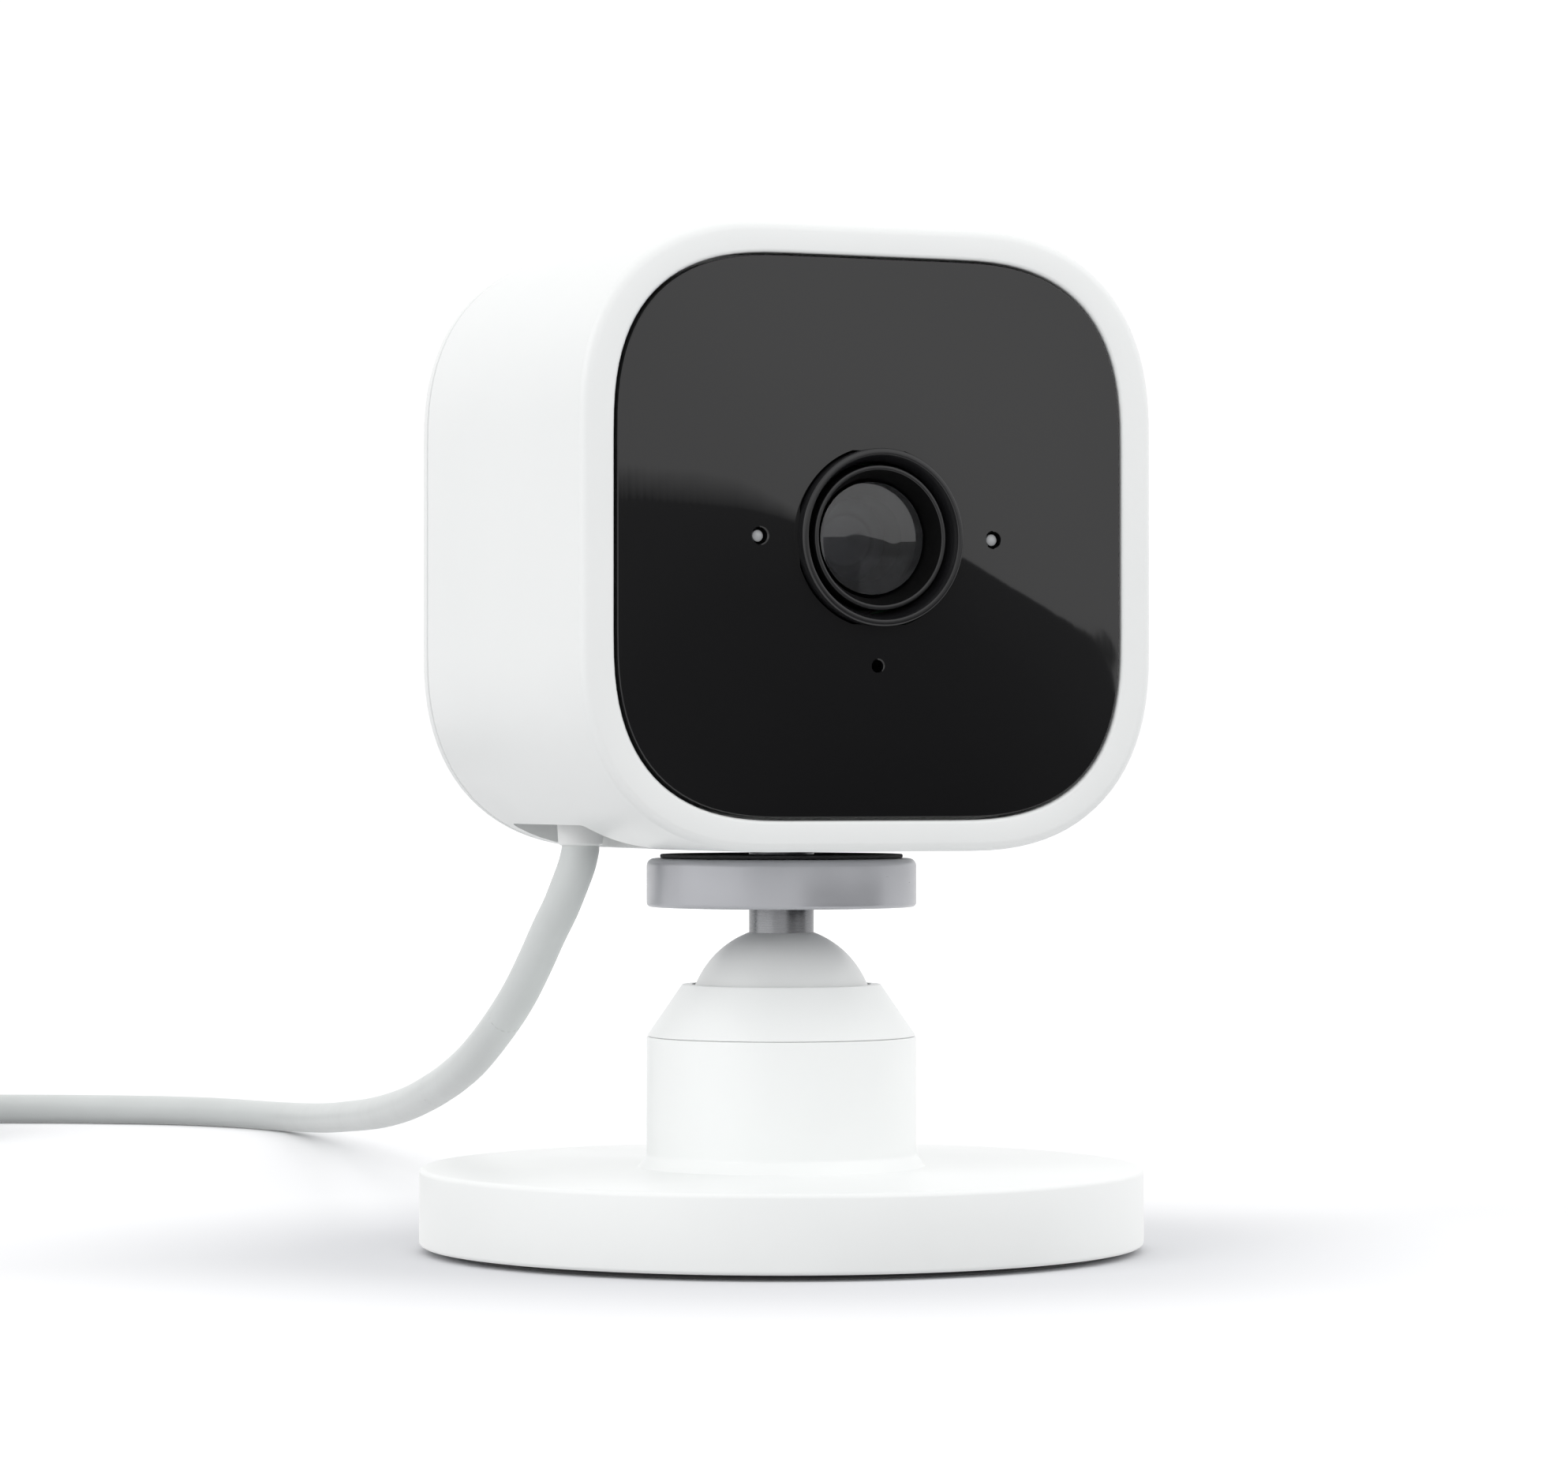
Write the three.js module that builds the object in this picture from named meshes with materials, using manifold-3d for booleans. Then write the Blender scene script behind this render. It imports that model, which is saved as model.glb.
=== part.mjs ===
// A small indoor security camera: a rounded-square head on a ball-jointed round stand, with its USB lead.
// Millimetres, +Z up. The origin is the middle of the stand's underside, and the lens looks along -Y.
import * as THREE from "three";
import { mergeVertices } from "three/addons/utils/BufferGeometryUtils.js";
import Module from "manifold-3d";

// ---- Driving dimensions ----

const GAP = 0.3; // between pieces that touch or nearly touch

// Head, measured from its own middle: x across, y from front to back, z up.
const HEAD_HALF_W = 24.8;
const HEAD_HALF_H = 24.7;
const HEAD_CORNER = 16;
const HEAD_CURVE = 2.36; // exponent of the corner: 2 is a circle, more is squarer
const HEAD_FRONT = -17.7;
const HEAD_BACK = 18.3;
const HEAD_UNDER = 32.6; // the head's underside above the ground
const HEAD_Z = HEAD_UNDER + HEAD_HALF_H;
const WALL = 1.9;
const COVER_T = 2.2; // rear cover's plate

// Front window, set in the rim.
const WINDOW_HALF_W = 21.8;
const WINDOW_HALF_H = 22;
const WINDOW_CORNER = 14.5;
const WINDOW_CURVE = 2.64;
const WINDOW_T = 1.6;
const WINDOW_DOME = 1.1; // how far its middle stands proud of its edge

// Lens.
const RING_R = 7;
const BARREL_R = 5.7;
const GLASS_R = 4.45;
const GLASS_Y = -16.2;
const LED_X = 10.15;
const MIC_Z = -10.1;

// Stand.
const BASE_R = 29.5;
const BASE_T = 6.75;
const BASE_LIP = 0.45; // the shell's rim clears the ground by this
const NECK_R = 11;
const NECK_TOP = 17.1;
const COLLAR_TOP = 21.6;
const COLLAR_TOP_R = 8.1;
const BALL_R = 7.57;
const BALL_Z = 18.73;
const CUP_T = 1;
const STEM_R = 2.65;
const BORE_R = STEM_R + GAP;
const DISC_R = 11;
const DISC_Z = 27.9;

// USB lead.
const CORD_D = 3.1;
const PLUG_X = -15; // the small plug stands in a well under the head's left side
const PLUG_Y = 6.6;
const BOOT_END = 32.9;
const COIL_X = -44.8;
const COIL_Y = 172.4;
const COIL_MEAN_R = 17.4;
const COIL_ROWS = 4; // turns side by side, and layers of them

// ---- Solids ----

const wasm = await Module();
wasm.setup();

// A closed geometry as a manifold-3d solid, for the cuts and joins below.
function solidOf(geometry) {
  const bare = geometry.clone();
  bare.deleteAttribute("normal");
  bare.deleteAttribute("uv");
  const merged = mergeVertices(bare, 1e-4);
  return new wasm.Manifold(
    new wasm.Mesh({
      numProp: 3,
      vertProperties: merged.attributes.position.array,
      triVerts: new Uint32Array(merged.index.array),
    }),
  );
}

function geometryOf(solid) {
  const mesh = solid.getMesh();
  const geometry = new THREE.BufferGeometry();
  geometry.setAttribute("position", new THREE.BufferAttribute(mesh.vertProperties, 3));
  geometry.setIndex(new THREE.BufferAttribute(mesh.triVerts, 1));
  return geometry;
}

const cut = (body, ...tools) =>
  geometryOf(tools.reduce((left, tool) => left.subtract(solidOf(tool)), solidOf(body)));

const join = (body, ...more) =>
  geometryOf(more.reduce((left, piece) => left.add(solidOf(piece)), solidOf(body)));

const common = (a, b) => geometryOf(solidOf(a).intersect(solidOf(b)));

// A box between two corners.
function box(x0, x1, y0, y1, z0, z1) {
  const geometry = new THREE.BoxGeometry(x1 - x0, y1 - y0, z1 - z0);
  return geometry.translate((x0 + x1) / 2, (y0 + y1) / 2, (z0 + z1) / 2);
}

// A round bar along Z, or along Y, from a to b.
const rodZ = (r, a, b, x = 0, y = 0, sides = 24) =>
  new THREE.CylinderGeometry(r, r, b - a, sides).rotateX(Math.PI / 2).translate(x, y, (a + b) / 2);

const rodY = (r, a, b, x = 0, z = 0, sides = 24) =>
  new THREE.CylinderGeometry(r, r, b - a, sides).translate(x, (a + b) / 2, z);

// A turned piece about Z, or about Y, from its [radius, height] profile, listed so that its faces point out.
const turned = (profile, sides) =>
  new THREE.LatheGeometry(profile.map(([r, h]) => new THREE.Vector2(r, h)), sides);

const turnedZ = (profile, sides = 48) => turned(profile, sides).rotateX(Math.PI / 2);

const turnedY = (profile, sides = 32) => turned(profile, sides);

// Points of an arc in a profile's plane, angles in degrees from the radius axis.
function arc(r, from, to, steps, height = 0) {
  return Array.from({ length: steps + 1 }, (_, i) => {
    const a = THREE.MathUtils.degToRad(from + ((to - from) * i) / steps);
    return [r * Math.cos(a), height + r * Math.sin(a)];
  });
}

// A rounded square whose corners follow a superellipse.
function squircle(halfW, halfH, corner, curve, steps = 10) {
  const points = [];
  for (const [sx, sz, from] of [[1, 1, 0], [-1, 1, 1], [-1, -1, 0], [1, -1, 1]]) {
    for (let i = 0; i <= steps; i++) {
      const a = ((from ? steps - i : i) / steps) * (Math.PI / 2);
      const x = halfW - corner + corner * Math.cos(a) ** (2 / curve);
      const z = halfH - corner + corner * Math.sin(a) ** (2 / curve);
      points.push(new THREE.Vector2(sx * x, sz * z));
    }
  }
  return new THREE.Shape(points);
}

// A shape in the x-z plane as a plate from y0 to y1, with its two rims rounded.
function plateY(shape, y0, y1, round = 0) {
  const geometry = new THREE.ExtrudeGeometry(shape, {
    depth: y1 - y0 - 2 * round,
    bevelEnabled: round > 0,
    bevelThickness: round,
    bevelSize: round,
    bevelOffset: -round,
    bevelSegments: 3,
    steps: 1,
  });
  return geometry.translate(0, 0, round).rotateX(Math.PI / 2).translate(0, y1, 0);
}

const headShape = (inset) =>
  squircle(HEAD_HALF_W - inset, HEAD_HALF_H - inset, HEAD_CORNER - inset, HEAD_CURVE);

const windowShape = (inset) =>
  squircle(WINDOW_HALF_W - inset, WINDOW_HALF_H - inset, WINDOW_CORNER - inset, WINDOW_CURVE);

// ---- Pieces and their finishes ----

const FINISH = {
  white: { color: 0xf1f2f1, roughness: 0.4, metalness: 0 },
  black: { color: 0x121213, roughness: 0.5, metalness: 0 },
  blackGloss: { color: 0x0b0b0c, roughness: 0.06, metalness: 0 },
  grey: { color: 0xa4a5ab, roughness: 0.45, metalness: 0 },
  rubber: { color: 0x2a2b2d, roughness: 0.85, metalness: 0 },
  glass: { color: 0x23262e, roughness: 0.02, metalness: 0 },
  clear: { color: 0xdfe3e6, roughness: 0.15, metalness: 0 },
  steel: { color: 0xa9abad, roughness: 0.35, metalness: 1 },
  aluminium: { color: 0xc3c6c9, roughness: 0.45, metalness: 1 },
  board: { color: 0x1d5a36, roughness: 0.55, metalness: 0 },
  chip: { color: 0x1b1b1d, roughness: 0.6, metalness: 0 },
  foam: { color: 0x3a3b3d, roughness: 0.95, metalness: 0 },
  cord: { color: 0xe6e8e7, roughness: 0.5, metalness: 0 },
};

const camera = new THREE.Group();
const head = new THREE.Group();
head.position.z = HEAD_Z;
camera.add(head);

function piece(name, geometry, finish, group = camera) {
  const mesh = new THREE.Mesh(geometry, new THREE.MeshStandardMaterial(FINISH[finish]));
  mesh.name = name;
  group.add(mesh);
}

// ---- Head: shells and window ----

const SEAM = HEAD_BACK - COVER_T; // rear cover's plate starts behind this
const WINDOW_BACK = HEAD_FRONT + WINDOW_T;
const LEDGE_FRONT = WINDOW_BACK + 1.1;
const LEDGE_BACK = LEDGE_FRONT + 1.2;

// Well for the small plug: an opening in the shell's underside with a pocket standing over it.
const WELL = { x0: -18, x1: -12, y0: -1.3, y1: 14.4, top: -5.8 };
const WELL_WALL = 0.9;

const BUTTON_X = 14.5;
const BUTTON_Y = 4;
const BUTTON_R = 2;
const MOUNT_BORE_R = 5.3;

function housing() {
  const sleeve = plateY(headShape(0), HEAD_FRONT, SEAM + 1.2, 1.2);
  return cut(
    sleeve,
    plateY(headShape(-1), SEAM - GAP, HEAD_BACK),
    plateY(headShape(WALL), LEDGE_BACK, HEAD_BACK),
    plateY(windowShape(-GAP), HEAD_FRONT - 1, LEDGE_FRONT),
    plateY(windowShape(1.4), HEAD_FRONT, LEDGE_BACK + 1),
    box(WELL.x0, WELL.x1, WELL.y0, WELL.y1, -HEAD_HALF_H - 1, -19),
    rodZ(MOUNT_BORE_R, -HEAD_HALF_H - 1, -22),
    rodZ(BUTTON_R + GAP, -HEAD_HALF_H - 1, -19, BUTTON_X, BUTTON_Y, 16),
  );
}

// Rear cover: a plate with a speaker grille, and a skirt that snaps inside the sleeve.
function rearCover() {
  const plate = common(
    plateY(headShape(0), HEAD_FRONT, HEAD_BACK, 1.2),
    box(-30, 30, SEAM, HEAD_BACK + 1, -30, 30),
  );
  const skirt = cut(
    plateY(headShape(WALL + GAP), SEAM - 1.5, SEAM + 0.5),
    plateY(headShape(WALL + GAP + 1.2), SEAM - 2, SEAM + 1),
  );
  const holes = [];
  for (const [ring, count] of [[0, 1], [2.5, 6], [5, 12], [7.5, 18]]) {
    for (let i = 0; i < count; i++) {
      const a = (i / count) * 2 * Math.PI;
      holes.push(rodY(0.6, SEAM - 1, HEAD_BACK + 1, ring * Math.cos(a), ring * Math.sin(a), 6));
    }
  }
  const wellRoom = box(WELL.x0 - 1.2, WELL.x1 + 1.2, SEAM - 2, SEAM, -HEAD_HALF_H, -15);
  return cut(join(plate, skirt), wellRoom, ...holes);
}

// Front window: a glossy plate with a slightly domed face, holed for the lens, two lights and a microphone.
function frontWindow() {
  const reach = 34;
  const domeR = (WINDOW_HALF_W ** 2 + WINDOW_DOME ** 2) / (2 * WINDOW_DOME);
  const top = HEAD_FRONT - WINDOW_DOME;
  const face = Array.from({ length: 9 }, (_, i) => {
    const r = (reach * i) / 8;
    return [r, top + domeR - Math.sqrt(domeR ** 2 - r ** 2)];
  });
  const dome = turnedY([...face, [reach, WINDOW_BACK], [0, WINDOW_BACK]], 48);
  return cut(
    common(plateY(windowShape(0), top - 1, WINDOW_BACK), dome),
    rodY(RING_R + GAP, top - 2, WINDOW_BACK + 1, 0, 0, 40),
    rodY(0.75, top - 2, WINDOW_BACK + 1, -LED_X, 0, 12),
    rodY(0.75, top - 2, WINDOW_BACK + 1, LED_X, 0, 12),
    rodY(0.6, top - 2, WINDOW_BACK + 1, 0, MIC_Z, 12),
  );
}

const windowGasket = () =>
  cut(
    plateY(windowShape(0.2), WINDOW_BACK + GAP, LEDGE_FRONT - GAP),
    plateY(windowShape(1.6), WINDOW_BACK - 1, LEDGE_FRONT + 1),
  );

// Walls and ceiling of the plug's well, open below, with a slot in the ceiling for the plug's metal shell.
const cableWell = () =>
  cut(
    common(
      box(
        WELL.x0 - WELL_WALL,
        WELL.x1 + WELL_WALL,
        WELL.y0 - WELL_WALL,
        WELL.y1 + WELL_WALL,
        -HEAD_HALF_H,
        WELL.top + WELL_WALL,
      ),
      plateY(headShape(WALL + GAP), HEAD_FRONT, HEAD_BACK),
    ),
    box(WELL.x0, WELL.x1, WELL.y0, WELL.y1, -HEAD_HALF_H - 1, WELL.top),
    box(PLUG_X - 1.3, PLUG_X + 1.3, PLUG_Y - 3.8, PLUG_Y + 3.8, WELL.top - 1, WELL.top + 2),
  );

const mountSocket = () =>
  turnedZ([[0, -15.2], [BORE_R, -15.2], [BORE_R, -24.6], [5, -24.6], [5, -13.5], [0, -13.5]], 32);

piece("housing", housing(), "white", head);
piece("rear_cover", rearCover(), "white", head);
piece("front_window", frontWindow(), "blackGloss", head);
piece("window_gasket", windowGasket(), "foam", head);
piece("cable_well", cableWell(), "white", head);
piece("mount_socket", mountSocket(), "black", head);

// ---- Head: lens and image sensor ----

const BOARD_FRONT_Y = -13.4; // small board behind the window
const HOLDER_FRONT = -12.1;
const HOLDER_BACK = -6.4;

// Trim ring round the lens, with a bore that narrows towards the barrel.
const lensRing = () =>
  turnedY([[6, -15.8], [6, -18.4], [6.5, -19.7], [RING_R - 0.25, -19.7], [RING_R, -19.5], [RING_R, -15.8], [6, -15.8]]);

// Barrel: a front lip, a funnel down to the glass, and a threaded tail.
const lensBarrel = () =>
  turnedY(
    [
      [GLASS_R + GAP, -17.5],
      [5.1, -18.9],
      [5.4, -19.1],
      [BARREL_R, -18.9],
      [BARREL_R, -13.9],
      [4.75, -13.9],
      [4.75, -9],
      [3.2, -9],
      [3.2, -14.6],
      [GLASS_R + GAP, -14.6],
      [GLASS_R + GAP, -17.5],
    ],
  );

const frontLens = () => turnedY([...arc(20, -90, -77.2, 4, 2.1), [GLASS_R, -14.9], [0, -14.9]]);

const rearLens = () => turnedY([[0, -12.6], [2.9, -12], [2.9, -9.8], [0, -9.3]], 24);

const lensHolder = () =>
  cut(
    box(-7.25, 7.25, HOLDER_FRONT, HOLDER_BACK, -7.25, 7.25),
    rodY(4.75 + GAP, HOLDER_FRONT - 1, -8.4, 0, 0, 32),
    box(-3.9, 3.9, -9, HOLDER_BACK + 1, -3.9, 3.9),
  );

piece("lens_ring", lensRing(), "black", head);
piece("lens_barrel", lensBarrel(), "black", head);
piece("front_lens", frontLens(), "glass", head);
piece("rear_lens", rearLens(), "glass", head);
piece("lens_holder", lensHolder(), "black", head);
piece("infrared_filter", box(-3.2, 3.2, -8.3, -7.8, -3.2, 3.2), "glass", head);
piece("image_sensor", box(-2.9, 2.9, -7.3, -6.4, -2.9, 2.9), "chip", head);
piece("sensor_board", box(-9, 9, -6.1, -5.1, -9, 9), "board", head);

// ---- Head: lights, microphone and the small front board ----

const frontBoard = () =>
  cut(plateY(squircle(20, 15, 4, 2, 4), BOARD_FRONT_Y, BOARD_FRONT_Y + 1), rodY(6.1, -15, -11, 0, 0, 32));

// A clear pipe carries the light from the board to its hole in the window.
const lightPipe = () => turnedY([[0, -18.2], [0.45, -18.1], [0.45, -15.8], [1.1, -15.8], [1.1, -14.7], [0, -14.7]], 12);

for (const [side, x] of [["left", -LED_X], ["right", LED_X]]) {
  piece("light_pipe_" + side, lightPipe().translate(x, 0, 0), "clear", head);
  piece("status_led_" + side, box(x - 0.8, x + 0.8, -14.4, -13.7, -0.4, 0.4), "clear", head);
}
piece("microphone", box(-1.9, 1.9, -14.7, -13.7, MIC_Z - 1.4, MIC_Z + 1.4), "steel", head);
piece("front_board", frontBoard(), "board", head);

// ---- Head: main board, cooling, sound and power ----

const MAIN_Y = -1; // main board's front face
const MAIN_BACK = 0.2;
const SCREW_PLACES = [[17, 17], [17.8, -12.5], [-17, 17], [-8.4, -18.4]];

// Frame that carries the main board on four posts.
function innerFrame() {
  const ring = cut(
    plateY(headShape(WALL + GAP), -11.9, -10.4),
    plateY(squircle(18.5, 19.5, 8, 2, 5), -13, -9),
  );
  const posts = SCREW_PLACES.map(([x, z]) => rodY(2, -11, MAIN_Y - GAP, x, z, 16));
  const arm = box(-9.4, -7.4, -11.5, -10.6, -21, -18);
  const bores = SCREW_PLACES.map(([x, z]) => rodY(0.9, -6.5, 0, x, z, 12));
  return cut(join(ring, arm, ...posts), ...bores);
}

// The main board leaves room for the plug's well and for the stem's socket.
function mainBoard() {
  const outline = [[-19.5, -3], [-10.6, -3], [-10.6, -20.8], [19.5, -20.8], [19.5, 20], [-19.5, 20]];
  const shape = new THREE.Shape(outline.map(([x, z]) => new THREE.Vector2(x, z)));
  const holes = SCREW_PLACES.map(([x, z]) => rodY(1, -3, 2, x, z, 12));
  const notch = box(-5.6, 5.6, MAIN_Y - 1, MAIN_BACK + 1, -22, -13);
  return common(
    cut(plateY(shape, MAIN_Y, MAIN_BACK), notch, ...holes),
    plateY(headShape(WALL + 1), MAIN_Y - 1, MAIN_BACK + 1),
  );
}

// Ribbon from the sensor board back to the main board.
function sensorFlex() {
  const side = [[-4.8, -7.5], [-4.5, -7.5], [-4.5, -9.6], [-1.3, -9.6], [-1.3, -9.9], [-4.8, -9.9]];
  const shape = new THREE.Shape(side.map(([y, z]) => new THREE.Vector2(y, z)));
  const ribbon = new THREE.ExtrudeGeometry(shape, { depth: 8, bevelEnabled: false });
  // The outline's x is the part's y and its y is z, so the strip is turned to lie across the head.
  ribbon.applyMatrix4(new THREE.Matrix4().set(0, 0, 1, -4, 1, 0, 0, 0, 0, 1, 0, 0, 0, 0, 0, 1));
  return ribbon;
}

const shieldCan = () =>
  cut(box(-4, 14, MAIN_BACK + GAP, 3.7, -3, 15), box(-3.5, 13.5, 0, 3.2, -2.5, 14.5));

// Aluminium plate with a bent foot along its top and bottom.
const heatSpreader = () =>
  join(
    box(-9, 17, 4, 5, -13, 14.8),
    box(-9, 17, 4.5, 10, 13.8, 14.8),
    box(-9, 17, 4.5, 10, -13, -12),
  );

const speaker = () => turnedY([[0, 7], [7, 7], [10, 9.6], [10, 12.6], [8.6, 12.6], [8.2, 11.8], [0, 11.2]]);

const screw = (x, z) =>
  turnedY([[0, -6], [0.7, -5.6], [0.7, MAIN_BACK + GAP], [1.8, MAIN_BACK + GAP], [1.8, 1.7], [0, 2.1]], 12)
    .translate(x, 0, z);

piece("inner_frame", innerFrame(), "black", head);
piece("main_board", mainBoard(), "board", head);
SCREW_PLACES.forEach(([x, z], i) => piece("frame_screw_" + (i + 1), screw(x, z), "steel", head));
piece("sensor_flex", sensorFlex(), "foam", head);
piece("processor", box(-0.5, 10.5, MAIN_BACK + GAP, 2, 0.5, 11.5), "chip", head);
piece("shield_can", shieldCan(), "steel", head);
piece("heat_spreader", heatSpreader(), "aluminium", head);
piece("speaker", speaker(), "black", head);
piece("speaker_gasket", cut(rodY(9.4, 12.9, 15.8, 0, 0, 32), rodY(8.3, 12, 17, 0, 0, 32)), "foam", head);
piece("wifi_antenna", box(-9, 9, 2, 10, 22, 22.4), "board", head);
piece(
  "usb_socket",
  cut(
    box(PLUG_X - 1.8, PLUG_X + 1.8, MAIN_BACK + GAP, 11, -4.6, 1.6),
    box(PLUG_X - 1.2, PLUG_X + 1.2, PLUG_Y - 3.7, PLUG_Y + 3.7, -6, 0.8),
  ),
  "steel",
  head,
);

// ---- Reset button, pressed upwards into a switch on the main board ----

const resetButton = () =>
  turnedZ(
    [
      [0, -23.4],
      [1.7, -23.4],
      [BUTTON_R, -23.1],
      [BUTTON_R, -20.4],
      [2.8, -20.4],
      [2.8, -19.7],
      [1, -19.7],
      [1, -19.3],
      [0, -19.3],
    ],
    16,
  );

piece("reset_button", resetButton().translate(BUTTON_X, BUTTON_Y, 0), "grey", head);
piece("reset_switch", box(BUTTON_X - 2.5, BUTTON_X + 2.5, MAIN_BACK + GAP, 6, -18.3, -15.5), "chip", head);

// ---- Ball joint: stem and ball carry the head, and turn in the collar ----

const DISC_TOP = HEAD_UNDER - GAP;
const PAD_T = 0.4;

const mountDisc = () =>
  turnedZ(
    [
      [BORE_R, DISC_Z],
      [DISC_R - 0.4, DISC_Z],
      [DISC_R, DISC_Z + 0.4],
      [DISC_R, DISC_TOP - PAD_T - GAP],
      [BORE_R, DISC_TOP - PAD_T - GAP],
      [BORE_R, DISC_Z],
    ],
  );

const discPad = () => cut(rodZ(DISC_R - 0.5, DISC_TOP - PAD_T, DISC_TOP, 0, 0, 48), rodZ(BORE_R, 30, 34));

const ball = () => {
  const mouth = THREE.MathUtils.radToDeg(Math.acos(BORE_R / BALL_R));
  return turnedZ([...arc(BALL_R, -90, mouth, 14, BALL_Z), [BORE_R, BALL_Z - 1], [0, BALL_Z - 1]], 32);
};

const ballStem = () =>
  turnedZ([[0, BALL_Z - 0.7], [STEM_R, BALL_Z - 0.7], [STEM_R, 40.6], [STEM_R - 0.5, 41.1], [0, 41.1]], 24);

// Friction cup: a shallow bowl of acetal that hugs the ball from below and slides in the seat.
const CUP_IN = BALL_R + GAP;
const CUP_OUT = CUP_IN + CUP_T;
const frictionCup = () =>
  turnedZ([...arc(CUP_OUT, -90, -52, 5, BALL_Z), ...arc(CUP_IN, -52, -90, 5, BALL_Z)], 32);

piece("mount_disc", mountDisc(), "grey");
piece("disc_pad", discPad(), "rubber");
piece("ball_stem", ballStem(), "steel");
piece("ball", ball(), "white");
piece("friction_cup", frictionCup(), "black");

// ---- Stand ----

const NECK_IN = NECK_R - 1.5;
const SEAT_TOP = 13.4;
const SEAT_UNDER = 7.6;

// Collar: a cone whose bore wraps the ball above its middle and is pressed onto the neck.
const collar = () => {
  const bore = BALL_R + GAP;
  const low = THREE.MathUtils.radToDeg(Math.asin((NECK_TOP + GAP - BALL_Z) / bore));
  const high = THREE.MathUtils.radToDeg(Math.asin((COLLAR_TOP - BALL_Z) / bore));
  return turnedZ([
    ...arc(bore, high, low, 5, BALL_Z),
    [NECK_R, NECK_TOP + GAP],
    [COLLAR_TOP_R, COLLAR_TOP],
    arc(bore, high, high, 1, BALL_Z)[0],
  ]);
};

const PLATE_SCREW_R = 20;
const plateAngles = [90, 210, 330].map((a) => THREE.MathUtils.degToRad(a));

// Base shell: the disc and the neck in one moulding, hollow from below.
function baseShell() {
  const shell = turnedZ([
    [NECK_IN, NECK_TOP],
    [NECK_IN, SEAT_UNDER - 1.8],
    [12.5, BASE_T - 2],
    [BASE_R - 1.9, BASE_T - 2],
    [BASE_R - 1.9, BASE_LIP],
    [BASE_R - 0.5, BASE_LIP],
    [BASE_R, BASE_LIP + 0.5],
    [BASE_R, BASE_T - 0.6],
    [BASE_R - 0.6, BASE_T],
    [NECK_R + 0.7, BASE_T],
    [NECK_R, BASE_T + 1],
    [NECK_R, NECK_TOP],
    [NECK_IN, NECK_TOP],
  ], 64);
  const places = plateAngles.map((a) => [PLATE_SCREW_R * Math.cos(a), PLATE_SCREW_R * Math.sin(a)]);
  const bosses = places.map(([x, y]) => rodZ(2.4, 3.4, 5, x, y, 16));
  const bores = places.map(([x, y]) => rodZ(1.2, 3, 5.3, x, y, 12));
  return cut(join(shell, ...bosses), ...bores);
}

const ballSeat = () => {
  const recess = CUP_OUT + GAP;
  const rim = THREE.MathUtils.radToDeg(Math.asin((SEAT_TOP - BALL_Z) / recess));
  return turnedZ([
    [0, SEAT_UNDER],
    [NECK_IN - GAP, SEAT_UNDER],
    [NECK_IN - GAP, SEAT_TOP],
    ...arc(recess, rim, -90, 6, BALL_Z),
  ], 40);
};

// Disc spring that presses the seat up against the cup. It bears on the boss of the base plate.
const seatSpring = () => turnedZ([[8.6, 5.6], [8.6, 6.2], [4.2, 7.3], [4.2, 6.7], [8.6, 5.6]], 32);

// Wall plate: three screw holes, and three recessed holes for the screws that hold it in the shell.
function basePlate() {
  const round = join(rodZ(BASE_R - 2.3, 1.2, 3.1, 0, 0, 56), rodZ(9, 2, 5.3, 0, 0, 32));
  const mounting = plateAngles.map((a) =>
    rodZ(2.1, 0, 4, -14 * Math.cos(a), -14 * Math.sin(a), 12),
  );
  const fixing = plateAngles.flatMap((a) => {
    const x = PLATE_SCREW_R * Math.cos(a);
    const y = PLATE_SCREW_R * Math.sin(a);
    return [rodZ(1.3, 0, 4, x, y, 12), rodZ(2.5, 0, 2.6, x, y, 12)];
  });
  return cut(round, ...mounting, ...fixing);
}

const plateScrew = (x, y) =>
  turnedZ([[0, 1.2], [2.2, 1.2], [2.2, 1.7], [0.9, 2.3], [0.9, 5], [0, 5]], 12).translate(x, y, 0);

const footRing = () => cut(rodZ(BASE_R - 2.2, 0, 0.9, 0, 0, 56), rodZ(23.2, -1, 2, 0, 0, 48));

piece("collar", collar(), "white");
piece("base_shell", baseShell(), "white");
piece("ball_seat", ballSeat(), "black");
piece("seat_spring", seatSpring(), "steel");
piece("base_plate", basePlate(), "white");
plateAngles.forEach((a, i) =>
  piece("plate_screw_" + (i + 1), plateScrew(PLATE_SCREW_R * Math.cos(a), PLATE_SCREW_R * Math.sin(a)), "steel"),
);
piece("foot_ring", footRing(), "rubber");

// ---- USB lead ----

// The lead drops from the small plug, sweeps back and settles on the ground, then runs to its coil.
const ROUTE = [
  [PLUG_X, PLUG_Y, BOOT_END - GAP],
  [-15.2, 6.8, 31.4],
  [-15.5, 7.7, 29.7],
  [-15.7, 9.2, 27.8],
  [-15.8, 11.5, 25.8],
  [-15.7, 14.9, 23.1],
  [-15.5, 19, 20.3],
  [-15.1, 24.5, 17.5],
  [-14.2, 32.7, 14.4],
  [-12.5, 42.3, 12.2],
  [-10.1, 53.8, 10.3],
  [-6.5, 69.8, 8.2],
  [-1.5, 91.6, 6],
  [4.5, 117.4, 4],
  [9.5, 140.5, 2.4],
  [11, 158, CORD_D / 2],
  [6.1, 169.9, CORD_D / 2],
  [-3.4, 178.6, CORD_D / 2],
  [-15.8, 185.2, CORD_D / 2],
  [-26.2, 189.3, CORD_D / 2],
].map((p) => new THREE.Vector3(...p));

const route = new THREE.CatmullRomCurve3(ROUTE, false, "centripetal");
const routeLength = route.getLength();

// Part of the route, between two distances along it.
class Stretch extends THREE.Curve {
  constructor(from, to) {
    super();
    this.from = from / routeLength;
    this.to = to / routeLength;
  }
  getPoint(t, target) {
    return route.getPointAt(this.from + (this.to - this.from) * t, target);
  }
}

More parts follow.
